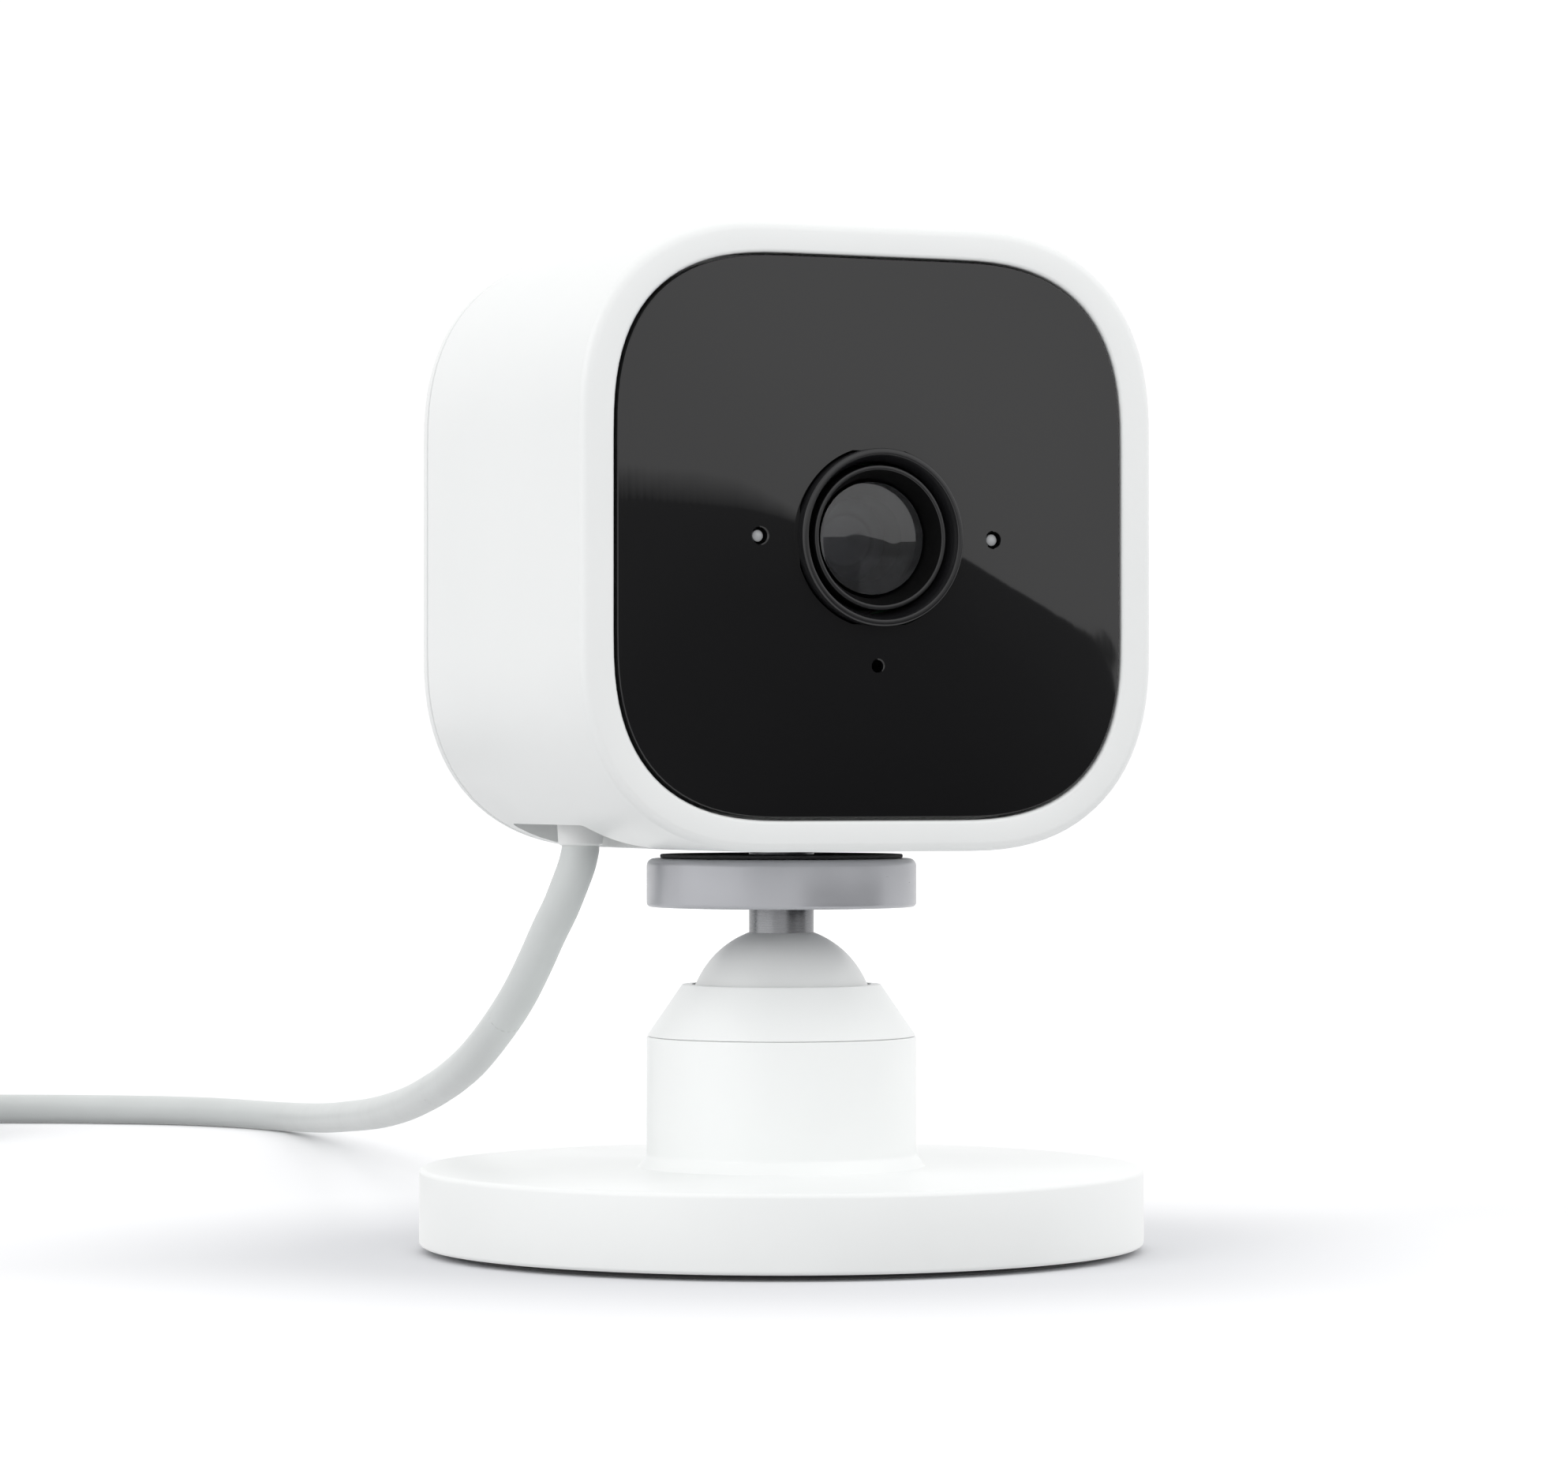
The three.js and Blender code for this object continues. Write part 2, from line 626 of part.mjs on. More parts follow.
// Eight-sided tube along a curve, with a step about every three diameters.
function tube(curve, steps) {
  const section = new THREE.Shape(
    Array.from({ length: 8 }, (_, i) => {
      const a = (i / 8) * 2 * Math.PI;
      return new THREE.Vector2((CORD_D / 2) * Math.cos(a), (CORD_D / 2) * Math.sin(a));
    }),
  );
  return new THREE.ExtrudeGeometry(section, { steps, extrudePath: curve, bevelEnabled: false });
}

// The first three stretches bend as the head is turned and leant, and the last one lies still.
const CORD_JOINS = [0, 22, 52.5, 90, routeLength];
const CORD_NAMES = ["cord_upper", "cord_middle", "cord_lower", "cord_floor"];
CORD_NAMES.forEach((name, i) => {
  const from = CORD_JOINS[i] + (i > 0 ? GAP / 2 : 0);
  const to = CORD_JOINS[i + 1] - (i < 3 ? GAP / 2 : 0);
  piece(name, tube(new Stretch(from, to), Math.ceil((to - from) / (2.4 * CORD_D))), "cord");
});

// Small plug: metal shell up in the socket, moulded body in the well and a tapered boot below.
const PLUG_TOP = HEAD_Z + WELL.top - GAP;
const BOOT_TOP = PLUG_TOP - 10.5;

const smallPlugBody = () =>
  join(
    box(PLUG_X - 2.7, PLUG_X + 2.7, PLUG_Y - 5, PLUG_Y + 5, PLUG_TOP - 11, PLUG_TOP),
    turnedZ([[0, BOOT_END], [1.8, BOOT_END], [2.5, BOOT_TOP], [0, BOOT_TOP]], 16).translate(PLUG_X, PLUG_Y, 0),
  );

const smallPlugShell = () =>
  box(PLUG_X - 0.9, PLUG_X + 0.9, PLUG_Y - 3.4, PLUG_Y + 3.4, PLUG_TOP + GAP, HEAD_Z + 0.4);

piece("small_plug_body", smallPlugBody(), "cord");
piece("small_plug_shell", smallPlugShell(), "steel");

// Coil: the outer shape of the turns, wound four wide and four high, and the tail that leaves over its top.
const COIL_IN = COIL_MEAN_R - (COIL_ROWS / 2) * CORD_D;
const COIL_OUT = COIL_MEAN_R + (COIL_ROWS / 2) * CORD_D;
const COIL_H = COIL_ROWS * CORD_D;
const COIL_TURN = THREE.MathUtils.degToRad(-24.16); // the large plug points along the coil's own -x
const TAIL_Z = COIL_H + GAP + 3.9;
const TAIL_END = [11.4, 5];

function coil() {
  const ring = turnedZ(
    [
      [COIL_IN + 1, 0],
      [COIL_OUT - 1, 0],
      [COIL_OUT, 1],
      [COIL_OUT, COIL_H - 1],
      [COIL_OUT - 1, COIL_H],
      [COIL_IN + 1, COIL_H],
      [COIL_IN, COIL_H - 1],
      [COIL_IN, 1],
      [COIL_IN + 1, 0],
    ],
    40,
  );
  const outer = COIL_OUT - CORD_D / 2;
  const climb = [-110, -87, -65, -42, -20].map((degrees, i) => {
    const a = THREE.MathUtils.degToRad(degrees);
    const z = THREE.MathUtils.lerp(COIL_H - CORD_D / 2, TAIL_Z, THREE.MathUtils.smoothstep(i / 4, 0, 1));
    return new THREE.Vector3(outer * Math.cos(a), outer * Math.sin(a), z);
  });
  const [endX, endY] = TAIL_END;
  const over = [[20.7, -1.4], [18.2, 3]].map(([x, y]) => new THREE.Vector3(x, y, TAIL_Z));
  const path = [...climb, ...over, new THREE.Vector3(endX + 2, endY, TAIL_Z), new THREE.Vector3(endX, endY, TAIL_Z)];
  return join(ring, tube(new THREE.CatmullRomCurve3(path, false, "centripetal"), 12));
}

// Large plug, lying across the coil: a moulded grip with a short boot, and its metal shell.
const plugGrip = () =>
  join(
    box(-13.5, TAIL_END[0] - 4.5, -7.6, 7.6, -3.9, 3.9),
    box(TAIL_END[0] - 5, TAIL_END[0] - GAP, -2.6, 2.6, -2.3, 2.3),
  ).translate(0, TAIL_END[1], TAIL_Z);

const plugShell = () =>
  cut(
    box(-32.2, -13.5 - GAP, -6, 6, -2.25, 2.25),
    box(-33, -20, -5.7, 5.7, -1.95, 0),
  ).translate(0, TAIL_END[1], TAIL_Z);

for (const [name, geometry, finish] of [
  ["cord_coil", coil(), "cord"],
  ["large_plug_body", plugGrip(), "cord"],
  ["large_plug_shell", plugShell(), "steel"],
]) {
  piece(name, geometry.rotateZ(COIL_TURN).translate(COIL_X, COIL_Y, 0), finish);
}

export default camera;
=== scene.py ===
# Looks of a small indoor security camera: a rounded-square head with a glossy window, on a ball joint and a round
# base, with its power lead. Metres in the scene, millimetres in the sizes below.
import math

import bmesh
import bpy
from mathutils import Matrix, Vector


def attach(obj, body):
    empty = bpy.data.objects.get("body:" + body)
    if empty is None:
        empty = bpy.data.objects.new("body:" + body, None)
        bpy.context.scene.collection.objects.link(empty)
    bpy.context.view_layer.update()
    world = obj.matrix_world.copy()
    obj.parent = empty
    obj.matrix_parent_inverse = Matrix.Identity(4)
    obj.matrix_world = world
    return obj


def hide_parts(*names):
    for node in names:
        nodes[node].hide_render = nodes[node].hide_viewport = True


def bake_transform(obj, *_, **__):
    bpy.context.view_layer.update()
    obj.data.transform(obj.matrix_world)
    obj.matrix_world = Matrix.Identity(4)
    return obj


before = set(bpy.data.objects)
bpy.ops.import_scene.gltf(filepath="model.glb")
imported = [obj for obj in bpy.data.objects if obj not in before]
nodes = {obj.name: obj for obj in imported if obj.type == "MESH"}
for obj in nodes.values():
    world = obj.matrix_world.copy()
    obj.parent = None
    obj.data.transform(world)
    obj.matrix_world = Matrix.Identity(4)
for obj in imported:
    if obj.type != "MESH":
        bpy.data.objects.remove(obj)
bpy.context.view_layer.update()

MM = 0.001

# ---- Camera ----
# A long lens, a little above the neck of the stand, 24 degrees to the left of the head's own front.

camera = bpy.data.objects.new("camera", bpy.data.cameras.new("camera"))
bpy.context.scene.collection.objects.link(camera)
bpy.context.scene.camera = camera
camera.data.sensor_width = 36
camera.data.lens = 127
camera.data.clip_start = 0.01
camera.location = (-0.1848, -0.4119, 0.0389)
camera.rotation_euler = (math.radians(90.33), 0, math.radians(-24.19))

# ---- USB lead ----
# A 2 m lead of soft white vinyl, 3.1 mm thick. It drops from the small plug's boot, sweeps back and down to the
# ground, and the length that isn't needed lies wound four wide and four high behind the stand.

CORD_D = 3.1
PLUG_X, PLUG_Y, BOOT_END = -15.0, 6.6, 32.9
ROUTE = [
    (PLUG_X, PLUG_Y, BOOT_END - 0.3),
    (-15.2, 6.8, 31.4),
    (-15.5, 7.7, 29.7),
    (-15.7, 9.2, 27.8),
    (-15.8, 11.5, 25.8),
    (-15.7, 14.9, 23.1),
    (-15.5, 19, 20.3),
    (-15.1, 24.5, 17.5),
    (-14.2, 32.7, 14.4),
    (-12.5, 42.3, 12.2),
    (-10.1, 53.8, 10.3),
    (-6.5, 69.8, 8.2),
    (-1.5, 91.6, 6),
    (4.5, 117.4, 4),
    (9.5, 140.5, 2.4),
    (11, 158, CORD_D / 2),
    (6.1, 169.9, CORD_D / 2),
    (-3.4, 178.6, CORD_D / 2),
    (-15.8, 185.2, CORD_D / 2),
    (-26.2, 189.3, CORD_D / 2),
]
COIL_CENTRE = Vector((-44.8, 172.4, 0))
COIL_TURN = math.radians(-24.16)
COIL_MEAN_R = 17.4
COIL_ROWS = 4
COIL_H = COIL_ROWS * CORD_D
TAIL_Z = COIL_H + 0.3 + 3.9
TAIL_END = (11.4, 5.0)


def through(points, step):
    """A smooth line through the points, with a point about every step along it."""
    points = [Vector(p) for p in points]
    first, last = 2 * points[0] - points[1], 2 * points[-1] - points[-2]
    knots = [first, *points, last]
    line = [points[0].copy()]
    for a, b, c, d in zip(knots, knots[1:], knots[2:], knots[3:]):
        before, span, after = ((q - p).length ** 0.5 for p, q in ((a, b), (b, c), (c, d)))
        leave = ((b - a) / before - (c - a) / (before + span) + (c - b) / span) * span
        arrive = ((c - b) / span - (d - b) / (span + after) + (d - c) / after) * span
        pieces = max(2, math.ceil((c - b).length / step))
        for i in range(1, pieces + 1):
            t = i / pieces
            line.append(
                b * (2 * t**3 - 3 * t**2 + 1)
                + leave * (t**3 - 2 * t**2 + t)
                + c * (3 * t**2 - 2 * t**3)
                + arrive * (t**3 - t**2)
            )
    return line


def along(line, start, end):
    """The part of a line between two distances along it."""
    kept, done = [], 0.0
    for p, q in zip(line, line[1:]):
        length = (q - p).length
        for here in (start, end):
            if done <= here < done + length:
                kept.append(p.lerp(q, (here - done) / length))
        if start < done + length < end:
            kept.append(q)
        done += length
    if end >= done:
        kept.append(line[-1])
    return [p for i, p in enumerate(kept) if i == 0 or (p - kept[i - 1]).length > 0.05]


def length_of(line):
    return sum((b - a).length for a, b in zip(line, line[1:]))


def add_piece(name, mesh):
    piece = bpy.data.objects.new(name, mesh)
    bpy.context.scene.collection.objects.link(piece)
    return piece


def skin(name, rings, wrap=False, sharp=35):
    """A closed mesh over rings of points in millimetres. A ring of one point is a pole, and wrap joins the last
    ring to the first. Edges sharper than the given angle stay crisp."""
    bm = bmesh.new()
    made = [[bm.verts.new(Vector(p) * MM) for p in ring] for ring in rings]
    pairs = list(zip(made, made[1:])) + ([(made[-1], made[0])] if wrap else [])
    for a, b in pairs:
        n = max(len(a), len(b))
        for i in range(n):
            corners = [a[i % len(a)], a[(i + 1) % len(a)], b[(i + 1) % len(b)], b[i % len(b)]]
            face = [v for k, v in enumerate(corners) if v not in corners[:k]]
            if len(face) > 2:
                bm.faces.new(face)
    for ring in () if wrap else (made[0], made[-1]):
        if len(ring) > 2:
            bm.faces.new(ring)
    bmesh.ops.recalc_face_normals(bm, faces=bm.faces)
    mesh = bpy.data.meshes.new(name)
    bm.to_mesh(mesh)
    bm.free()
    mesh.shade_smooth()
    mesh.set_sharp_from_angle(angle=math.radians(sharp))
    return add_piece(name, mesh)


def hose(name, line, sides=18):
    """A round cord along a line, with its ends closed."""
    directions = [(b - a).normalized() for a, b in zip(line, line[1:])]
    tangents = [directions[0], *((p + q).normalized() for p, q in zip(directions, directions[1:])), directions[-1]]
    side = tangents[0].orthogonal().normalized()
    rings = []
    for point, tangent in zip(line, tangents):
        side = (side - tangent * side.dot(tangent)).normalized()
        up = tangent.cross(side)
        turns = [2 * math.pi * i / sides for i in range(sides)]
        rings.append([point + (side * math.cos(a) + up * math.sin(a)) * CORD_D / 2 for a in turns])
    return skin(name, rings, sharp=60)


def coil_line():
    """The coil's turns: in across one layer and out across the next, a cord's width at a time. The tail lies on
    top and leads to the large plug."""
    rows = [COIL_MEAN_R + CORD_D * (1.5 - i) for i in range(COIL_ROWS)]
    stops = []
    for layer in range(COIL_ROWS):
        order = rows if layer % 2 == 0 else rows[::-1]
        stops += [(r, CORD_D * (layer + 0.5)) for r in order]
    stops.append(stops[-1])
    line, per_turn, start = [], 72, 90
    turns = 15 + (250 - start) / 360
    for i in range(1, round(turns * per_turn) + 1):
        turn = i / per_turn
        whole = min(int(turn), len(stops) - 2)
        share = max(0.0, (turn - whole - 0.72) / 0.28)
        share = share * share * (3 - 2 * share)
        r = stops[whole][0] + (stops[whole + 1][0] - stops[whole][0]) * share
        z = stops[whole][1] + (stops[whole + 1][1] - stops[whole][1]) * share
        a = math.radians(start + 360 * turn)
        line.append(Vector((r * math.cos(a), r * math.sin(a), z)))
    outer = rows[0]
    tail = [line[-1]]
    for i, degrees in enumerate((-87, -65, -42, -20)):
        share = (i + 1) / 4
        share = share * share * (3 - 2 * share)
        a = math.radians(degrees)
        z = COIL_H - CORD_D / 2 + (TAIL_Z - COIL_H + CORD_D / 2) * share
        tail.append(Vector((outer * math.cos(a), outer * math.sin(a), z)))
    tail += [Vector((x, y, TAIL_Z)) for x, y in ((20.7, -1.4), (18.2, 3), (TAIL_END[0] + 2, TAIL_END[1]), TAIL_END)]
    line += through(tail, 1.2)[1:]
    turned = Matrix.Rotation(COIL_TURN, 3, "Z")
    return [turned @ p + COIL_CENTRE for p in line]


class Wire:
    """One socket of a material. A sum or product with it adds a Math node."""

    def __init__(self, finish, socket):
        self.finish, self.socket = finish, socket

    def math(self, operation, *values):
        return self.finish.node("ShaderNodeMath", {"operation": operation}, dict(enumerate(values)))

    def __add__(self, other):
        return self.math("ADD", self, other)

    def __mul__(self, other):
        return self.math("MULTIPLY", self, other)

    __radd__, __rmul__ = __add__, __mul__


class Finish:
    """A material: the shader's own values, and what varies over the surface."""

    def __init__(self, name, **values):
        self.material = bpy.data.materials.new(name)
        self.material.use_nodes = True
        self.tree = self.material.node_tree
        self.shader = self.tree.nodes["Principled BSDF"]
        for socket, value in values.items():
            self.shader.inputs[socket.replace("_", " ")].default_value = value
        self.place = self.node("ShaderNodeTexCoord", output="Object")

    def node(self, kind, settings=None, inputs=None, output=0):
        """Adds a node: first its settings, or a ramp's stops, then the values or wires of its sockets."""
        made = self.tree.nodes.new(kind)
        for key, value in (settings or {}).items():
            if key == "stops":
                ramp = made.color_ramp
                while len(ramp.elements) < len(value):
                    ramp.elements.new(0.5)
                for element, (position, grey) in zip(ramp.elements, value):
                    element.position, element.color = position, grey
            else:
                setattr(made, key, value)
        for key, value in (inputs or {}).items():
            if isinstance(value, Wire):
                self.tree.links.new(value.socket, made.inputs[key])
            else:
                made.inputs[key].default_value = value
        return Wire(self, made.outputs[output])

    def feed(self, **wires):
        for socket, wire in wires.items():
            self.tree.links.new(wire.socket, self.shader.inputs[socket.replace("_", " ")])

    def noise(self, size_mm, detail=2, stretch=None):
        """Soft noise whose lumps are about so many millimetres across."""
        place = self.place
        if stretch:
            place = self.node("ShaderNodeVectorMath", {"operation": "MULTIPLY"}, {0: place, 1: stretch})
        return self.node(
            "ShaderNodeTexNoise", None, {"Vector": place, "Scale": 1000 / size_mm, "Detail": detail}, "Fac"
        )

    def tint(self, low, high, share):
        """A colour between low and high."""
        return self.node(
            "ShaderNodeMix", {"data_type": "RGBA"}, {"Factor": share, "A": (*low, 1), "B": (*high, 1)}, "Result"
        )

    def bump(self, height, depth_mm, strength=1.0):
        return self.node(
            "ShaderNodeBump", None, {"Height": height, "Distance": depth_mm * MM, "Strength": strength}, "Normal"
        )

    def on(self, *pieces):
        for piece in pieces:
            piece = nodes[piece] if isinstance(piece, str) else piece
            piece.data.materials.clear()
            piece.data.materials.append(self.material)


def vinyl(name, colour, shade, rough):
    """Soft cord vinyl: a faint waxy mottle, and fine lines left by the extruder."""
    finish = Finish(name, IOR=1.5)
    mottle = finish.noise(6, 3)
    finish.feed(
        Base_Color=finish.tint(shade, colour, mottle),
        Roughness=finish.noise(0.9, 3) * 0.12 + (rough - 0.06),
        Normal=finish.bump(finish.noise(0.35, 2), 0.012, 0.5),
    )
    return finish


# The lead's vinyl is painted greyer than the plugs' same vinyl: painted shade along the lead.
cord_vinyl_painted_shade = vinyl("cord_vinyl_painted_shade", (0.66, 0.685, 0.68), (0.59, 0.61, 0.605), 0.42)
plug_vinyl = vinyl("plug_vinyl", (0.83, 0.84, 0.835), (0.79, 0.80, 0.795), 0.4)
route = through(ROUTE, 1.2)
route_length = length_of(route)
# The first stretch starts inside the boot.
HIDDEN_IN_BOOT = 8
boot_start = Vector((PLUG_X, PLUG_Y, BOOT_END + HIDDEN_IN_BOOT))
# The lead is cut into four stretches at these distances along it.
JOINS = (0, 22, 52.5, 90)
upper, middle, lower = (along(route, start, end) for start, end in zip(JOINS, JOINS[1:]))
stretches = [
    ("lead_upper", "cord_upper", [boot_start, *upper]),
    ("lead_middle", "cord_middle", middle),
    ("lead_lower", "cord_lower", lower),
    ("lead_floor", "cord_floor", along(route, JOINS[-1], route_length) + coil_line()),
]
leads = {}
for name, node, line in stretches:
    lead = leads[name] = hose(name, line)
    cord_vinyl_painted_shade.on(lead)
    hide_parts(node)
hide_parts("cord_coil")
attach(leads["lead_floor"], "stand")

# ---- Plugs ----
# The small plug is moulded in the same vinyl as the lead, with a short round boot. The large one is a plain block
# grip with soft edges, and both have a folded, plated steel shell.


def block(name, low, high, ease):
    """A block with rounded edges, between two corners in millimetres."""
    bm = bmesh.new()
    bmesh.ops.create_cube(bm, size=1)
    low, high = Vector(low), Vector(high)
    for v in bm.verts:
        v.co = Vector((low[k] + (high[k] - low[k]) * (v.co[k] + 0.5)) for k in range(3)) * MM
    bmesh.ops.bevel(bm, geom=bm.edges[:], offset=ease * MM, segments=4, profile=0.5, affect="EDGES")
    mesh = bpy.data.meshes.new(name)
    bm.to_mesh(mesh)
    bm.free()
    mesh.shade_smooth()
    mesh.set_sharp_from_angle(angle=math.radians(40))
    return add_piece(name, mesh)


def eased(corners, steps=5):
    """A profile through (across, along, radius) corners, each rounded to its radius."""
    profile = []
    for i, (x, y, radius) in enumerate(corners):
        here = Vector((x, y))
        if not radius:
            profile.append(here)
            continue
        back = (Vector(corners[i - 1][:2]) - here).normalized()
        on = (Vector(corners[(i + 1) % len(corners)][:2]) - here).normalized()
        half = back.angle(on) / 2
        centre = here + (back + on).normalized() * radius / math.sin(half)
        a = here + back * radius / math.tan(half) - centre
        b = here + on * radius / math.tan(half) - centre
        sweep = a.angle_signed(b)
        for k in range(steps + 1):
            profile.append(centre + Matrix.Rotation(-sweep * k / steps, 2) @ a)
    return profile


def turned(name, profile, sides=96, axis="Z", centre=(0, 0, 0), sharp=35, wrap=False):
    """A piece turned about an axis from its (radius, height) profile. A radius of 0 closes it with a pole."""
    rings = []
    for r, h in profile:
        ring = []
        for i in range(sides if r > 1e-6 else 1):
            a = 2 * math.pi * i / sides
            x, y = r * math.cos(a), r * math.sin(a)
            ring.append(Vector((x, y, h) if axis == "Z" else (x, h, y)) + Vector(centre))
        rings.append(ring)
    return skin(name, rings, wrap, sharp)


HEAD_Z = 57.3
SOCKET_BELOW_MIDDLE = 5.8
PLUG_GAP = 0.3
PLUG_TOP = HEAD_Z - SOCKET_BELOW_MIDDLE - PLUG_GAP
BOOT_TOP = PLUG_TOP - 10.5
boot = turned(
    "small_plug_boot",
    eased(
        [
            (0, BOOT_END, 0),
            (1.8, BOOT_END, 0.25),
            (1.95, BOOT_END + 2.4, 0),
            (2.5, BOOT_TOP, 0),
            (0, BOOT_TOP, 0),
        ]
    ),
    48,
    centre=(PLUG_X, PLUG_Y, 0),
)
plug_body = block(
    "small_plug_grip",
    (PLUG_X - 2.7, PLUG_Y - 5, PLUG_TOP - 11),
    (PLUG_X + 2.7, PLUG_Y + 5, PLUG_TOP),
    0.9,
)
plug_vinyl.on(boot, plug_body)
for piece in (boot, plug_body):
    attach(piece, "head")
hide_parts("small_plug_body")


def lay_on_coil(piece):
    """Turns a piece made in the coil's own place to where the coil lies."""
    piece.data.transform(Matrix.Translation(COIL_CENTRE * MM) @ Matrix.Rotation(COIL_TURN, 4, "Z"))
    return piece


grip = lay_on_coil(
    block(
        "large_plug_grip",
        (-13.5, TAIL_END[1] - 7.6, TAIL_Z - 3.9),
        (TAIL_END[0] - 4.5, TAIL_END[1] + 7.6, TAIL_Z + 3.9),
        1.4,
    )
)
relief = lay_on_coil(
    block(
        "large_plug_relief",
        (TAIL_END[0] - 5, TAIL_END[1] - 2.6, TAIL_Z - 2.3),
        (TAIL_END[0] - 0.1, TAIL_END[1] + 2.6, TAIL_Z + 2.3),
        1.0,
    )
)
plug_vinyl.on(grip, relief)
for piece in (grip, relief):
    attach(piece, "stand")
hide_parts("large_plug_body")


def rolled_steel(name, colour, rough, across=(1, 1, 12)):
    """Rolled or turned steel: faint drawn lines, and brightness that drifts a little."""
    finish = Finish(name, Metallic=1.0)
    lines = finish.noise(1.6, 3, across)
    finish.feed(
        Base_Color=finish.tint([c * 0.86 for c in colour], colour, finish.noise(7, 2)),
        Roughness=lines * 0.16 + (rough - 0.08),
        Normal=finish.bump(lines, 0.004, 0.4),
    )
    return finish


plated_steel = rolled_steel("plated_steel", (0.62, 0.63, 0.64), 0.3)
plated_steel.on("small_plug_shell", "large_plug_shell")

NOD_END = 36
for name, line, bodies in (
    ("lead_upper", upper, ("head", "arm")),
    ("lead_middle", along(route, JOINS[1], NOD_END), ("arm", "cup")),
    ("lead_lower", lower, ("cup", "stand")),
):
    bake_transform(leads[name], *bodies, start=line[0] * MM, end=line[-1] * MM)

# A black hook-and-loop strap holds the turns together. It is pulled tight, so it sinks a little between them.
TIE_ANGLE, TIE_W, TIE_T, TIE_HALF, TIE_CORNER = math.radians(222), 8.0, 0.5, 6.05, 2.0
tie_rings = []
for sx, sz, first in ((1, 1, 0), (-1, 1, 90), (-1, -1, 180), (1, -1, 270)):
    for k in range(9):
        a = math.radians(first + 90 * k / 8)
        out = Vector((math.cos(a), math.sin(a)))
        inner = Vector((sx, sz)) * (TIE_HALF - TIE_CORNER) + out * TIE_CORNER
        section = []
        for grow, shift in ((0, -1), (0, 1), (0.7, 1), (1, 0.94), (1, -0.94), (0.7, -1)):
            at = inner + out * TIE_T * grow
            section.append(Vector((COIL_MEAN_R + at.x, shift * TIE_W / 2, TIE_HALF + TIE_T + 0.05 + at.y)))
        tie_rings.append([Matrix.Rotation(TIE_ANGLE, 3, "Z") @ point for point in section])
tie = lay_on_coil(skin("lead_tie", tie_rings, wrap=True))
strap = Finish("strap_black", Sheen_Weight=0.3)
loops = strap.noise(0.35, 2)
strap.feed(
    Base_Color=strap.tint((0.008, 0.008, 0.009), (0.03, 0.03, 0.032), loops),
    Roughness=loops * 0.15 + 0.8,
    Normal=strap.bump(loops, 0.12, 0.9),
)
strap.on(tie)
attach(tie, "stand")
for name, node, line in stretches:
    last = name == "lead_floor"
    [c * MM for c in line[0]]
    length_of(line) * MM
    [[c * MM for c in p] for p in line]

# ---- Stand ----
# One white moulding makes the round base and the neck. A screwed-on plate closes it from below, and a black rubber
# ring under its edge keeps it off the table, which leaves a thin dark line all round.

BALL_Z = 18.73
BALL_R = 7.57
NECK_R, NECK_BORE, NECK_TOP = 11.0, 9.5, 17.34
BASE_R, BASE_LOW, BASE_TOP = 29.5, 0.45, 6.75
# The hollow under the base, which the plate closes.
HOLLOW_R, HOLLOW_TOP = 27.6, 4.75


def satin_white(name, rough, shade=1.0):
    """Moulded white plastic: spark-eroded grain, faint flow marks, and a sheen that varies with handling."""
    finish = Finish(name, IOR=1.5)
    finish.feed(
        Base_Color=finish.tint(
            [c * shade for c in (0.80, 0.815, 0.81)], [c * shade for c in (0.835, 0.845, 0.84)], finish.noise(14, 3)
        ),
        Roughness=finish.noise(5, 3) * 0.1 + (rough - 0.05),
        Normal=finish.bump(finish.noise(0.28, 2), 0.006, 0.35),
    )
    return finish


# The stand's white is painted a little lighter than the head's: painted light, for the light the base top and the
# neck's foot catch.
stand_white_painted_light = satin_white("stand_white_painted_light", 0.36, 1.08)
base = turned(
    "stand_shell",
    eased(
        [
            (NECK_BORE, NECK_TOP, 0.1),
            (NECK_BORE, 5.8, 0),
            (12.5, HOLLOW_TOP, 0),
            (HOLLOW_R, HOLLOW_TOP, 0),
            (HOLLOW_R, BASE_LOW, 0),
            (BASE_R, BASE_LOW, 0.35),
            (BASE_R, BASE_TOP, 0.45),
            (NECK_R + 0.7, BASE_TOP, 0.15),
            (NECK_R, BASE_TOP + 1, 0.5),
            (NECK_R, NECK_TOP, 0.1),
        ]
    ),
    192,
    wrap=True,
)
stand_white_painted_light.on(base, "base_plate")
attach(base, "stand")
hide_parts("base_shell")

# The collar is a cone with a round bore that holds the ball above its middle. It is pressed onto the neck.
COLLAR_LOW, COLLAR_TOP, BALL_GAP = 17.36, 21.6, 0.3
bore = [
    (math.sqrt((BALL_R + BALL_GAP) ** 2 - (z - BALL_Z) ** 2), z, 0)
    for z in (COLLAR_TOP, 20.9, 20.1, 19.3, 18.7, 18, COLLAR_LOW)
]
cone = [(NECK_R, COLLAR_LOW, 0.1), (8.1, COLLAR_TOP, 0.18)]
collar = turned("stand_collar", eased([*bore, *cone]), 160, wrap=True)
stand_white_painted_light.on(collar)
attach(collar, "stand")
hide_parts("collar")


def rubber(name, colour, rough=0.8):
    """Moulded rubber: dull, with a fine dusty grain."""
    finish = Finish(name)
    finish.feed(
        Base_Color=finish.tint([c * 0.7 for c in colour], colour, finish.noise(2.5, 4)),
        Roughness=finish.noise(1.2, 2) * 0.2 + (rough - 0.1),
        Normal=finish.bump(finish.noise(0.4, 3), 0.02, 0.5),
    )
    return finish


black_rubber = rubber("black_rubber", (0.03, 0.03, 0.032))
FOOT_IN, FOOT_OUT, FOOT_H = 23.2, 27.3, 0.9
foot_corners = [(r, z, 0.15) for r, z in ((FOOT_IN, 0), (FOOT_OUT, 0), (FOOT_OUT, FOOT_H), (FOOT_IN, FOOT_H))]
foot = turned("stand_foot", eased(foot_corners), 128, wrap=True)
black_rubber.on(foot)
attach(foot, "stand")
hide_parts("foot_ring")

plated_steel.on("plate_screw_1", "plate_screw_2", "plate_screw_3", "seat_spring")

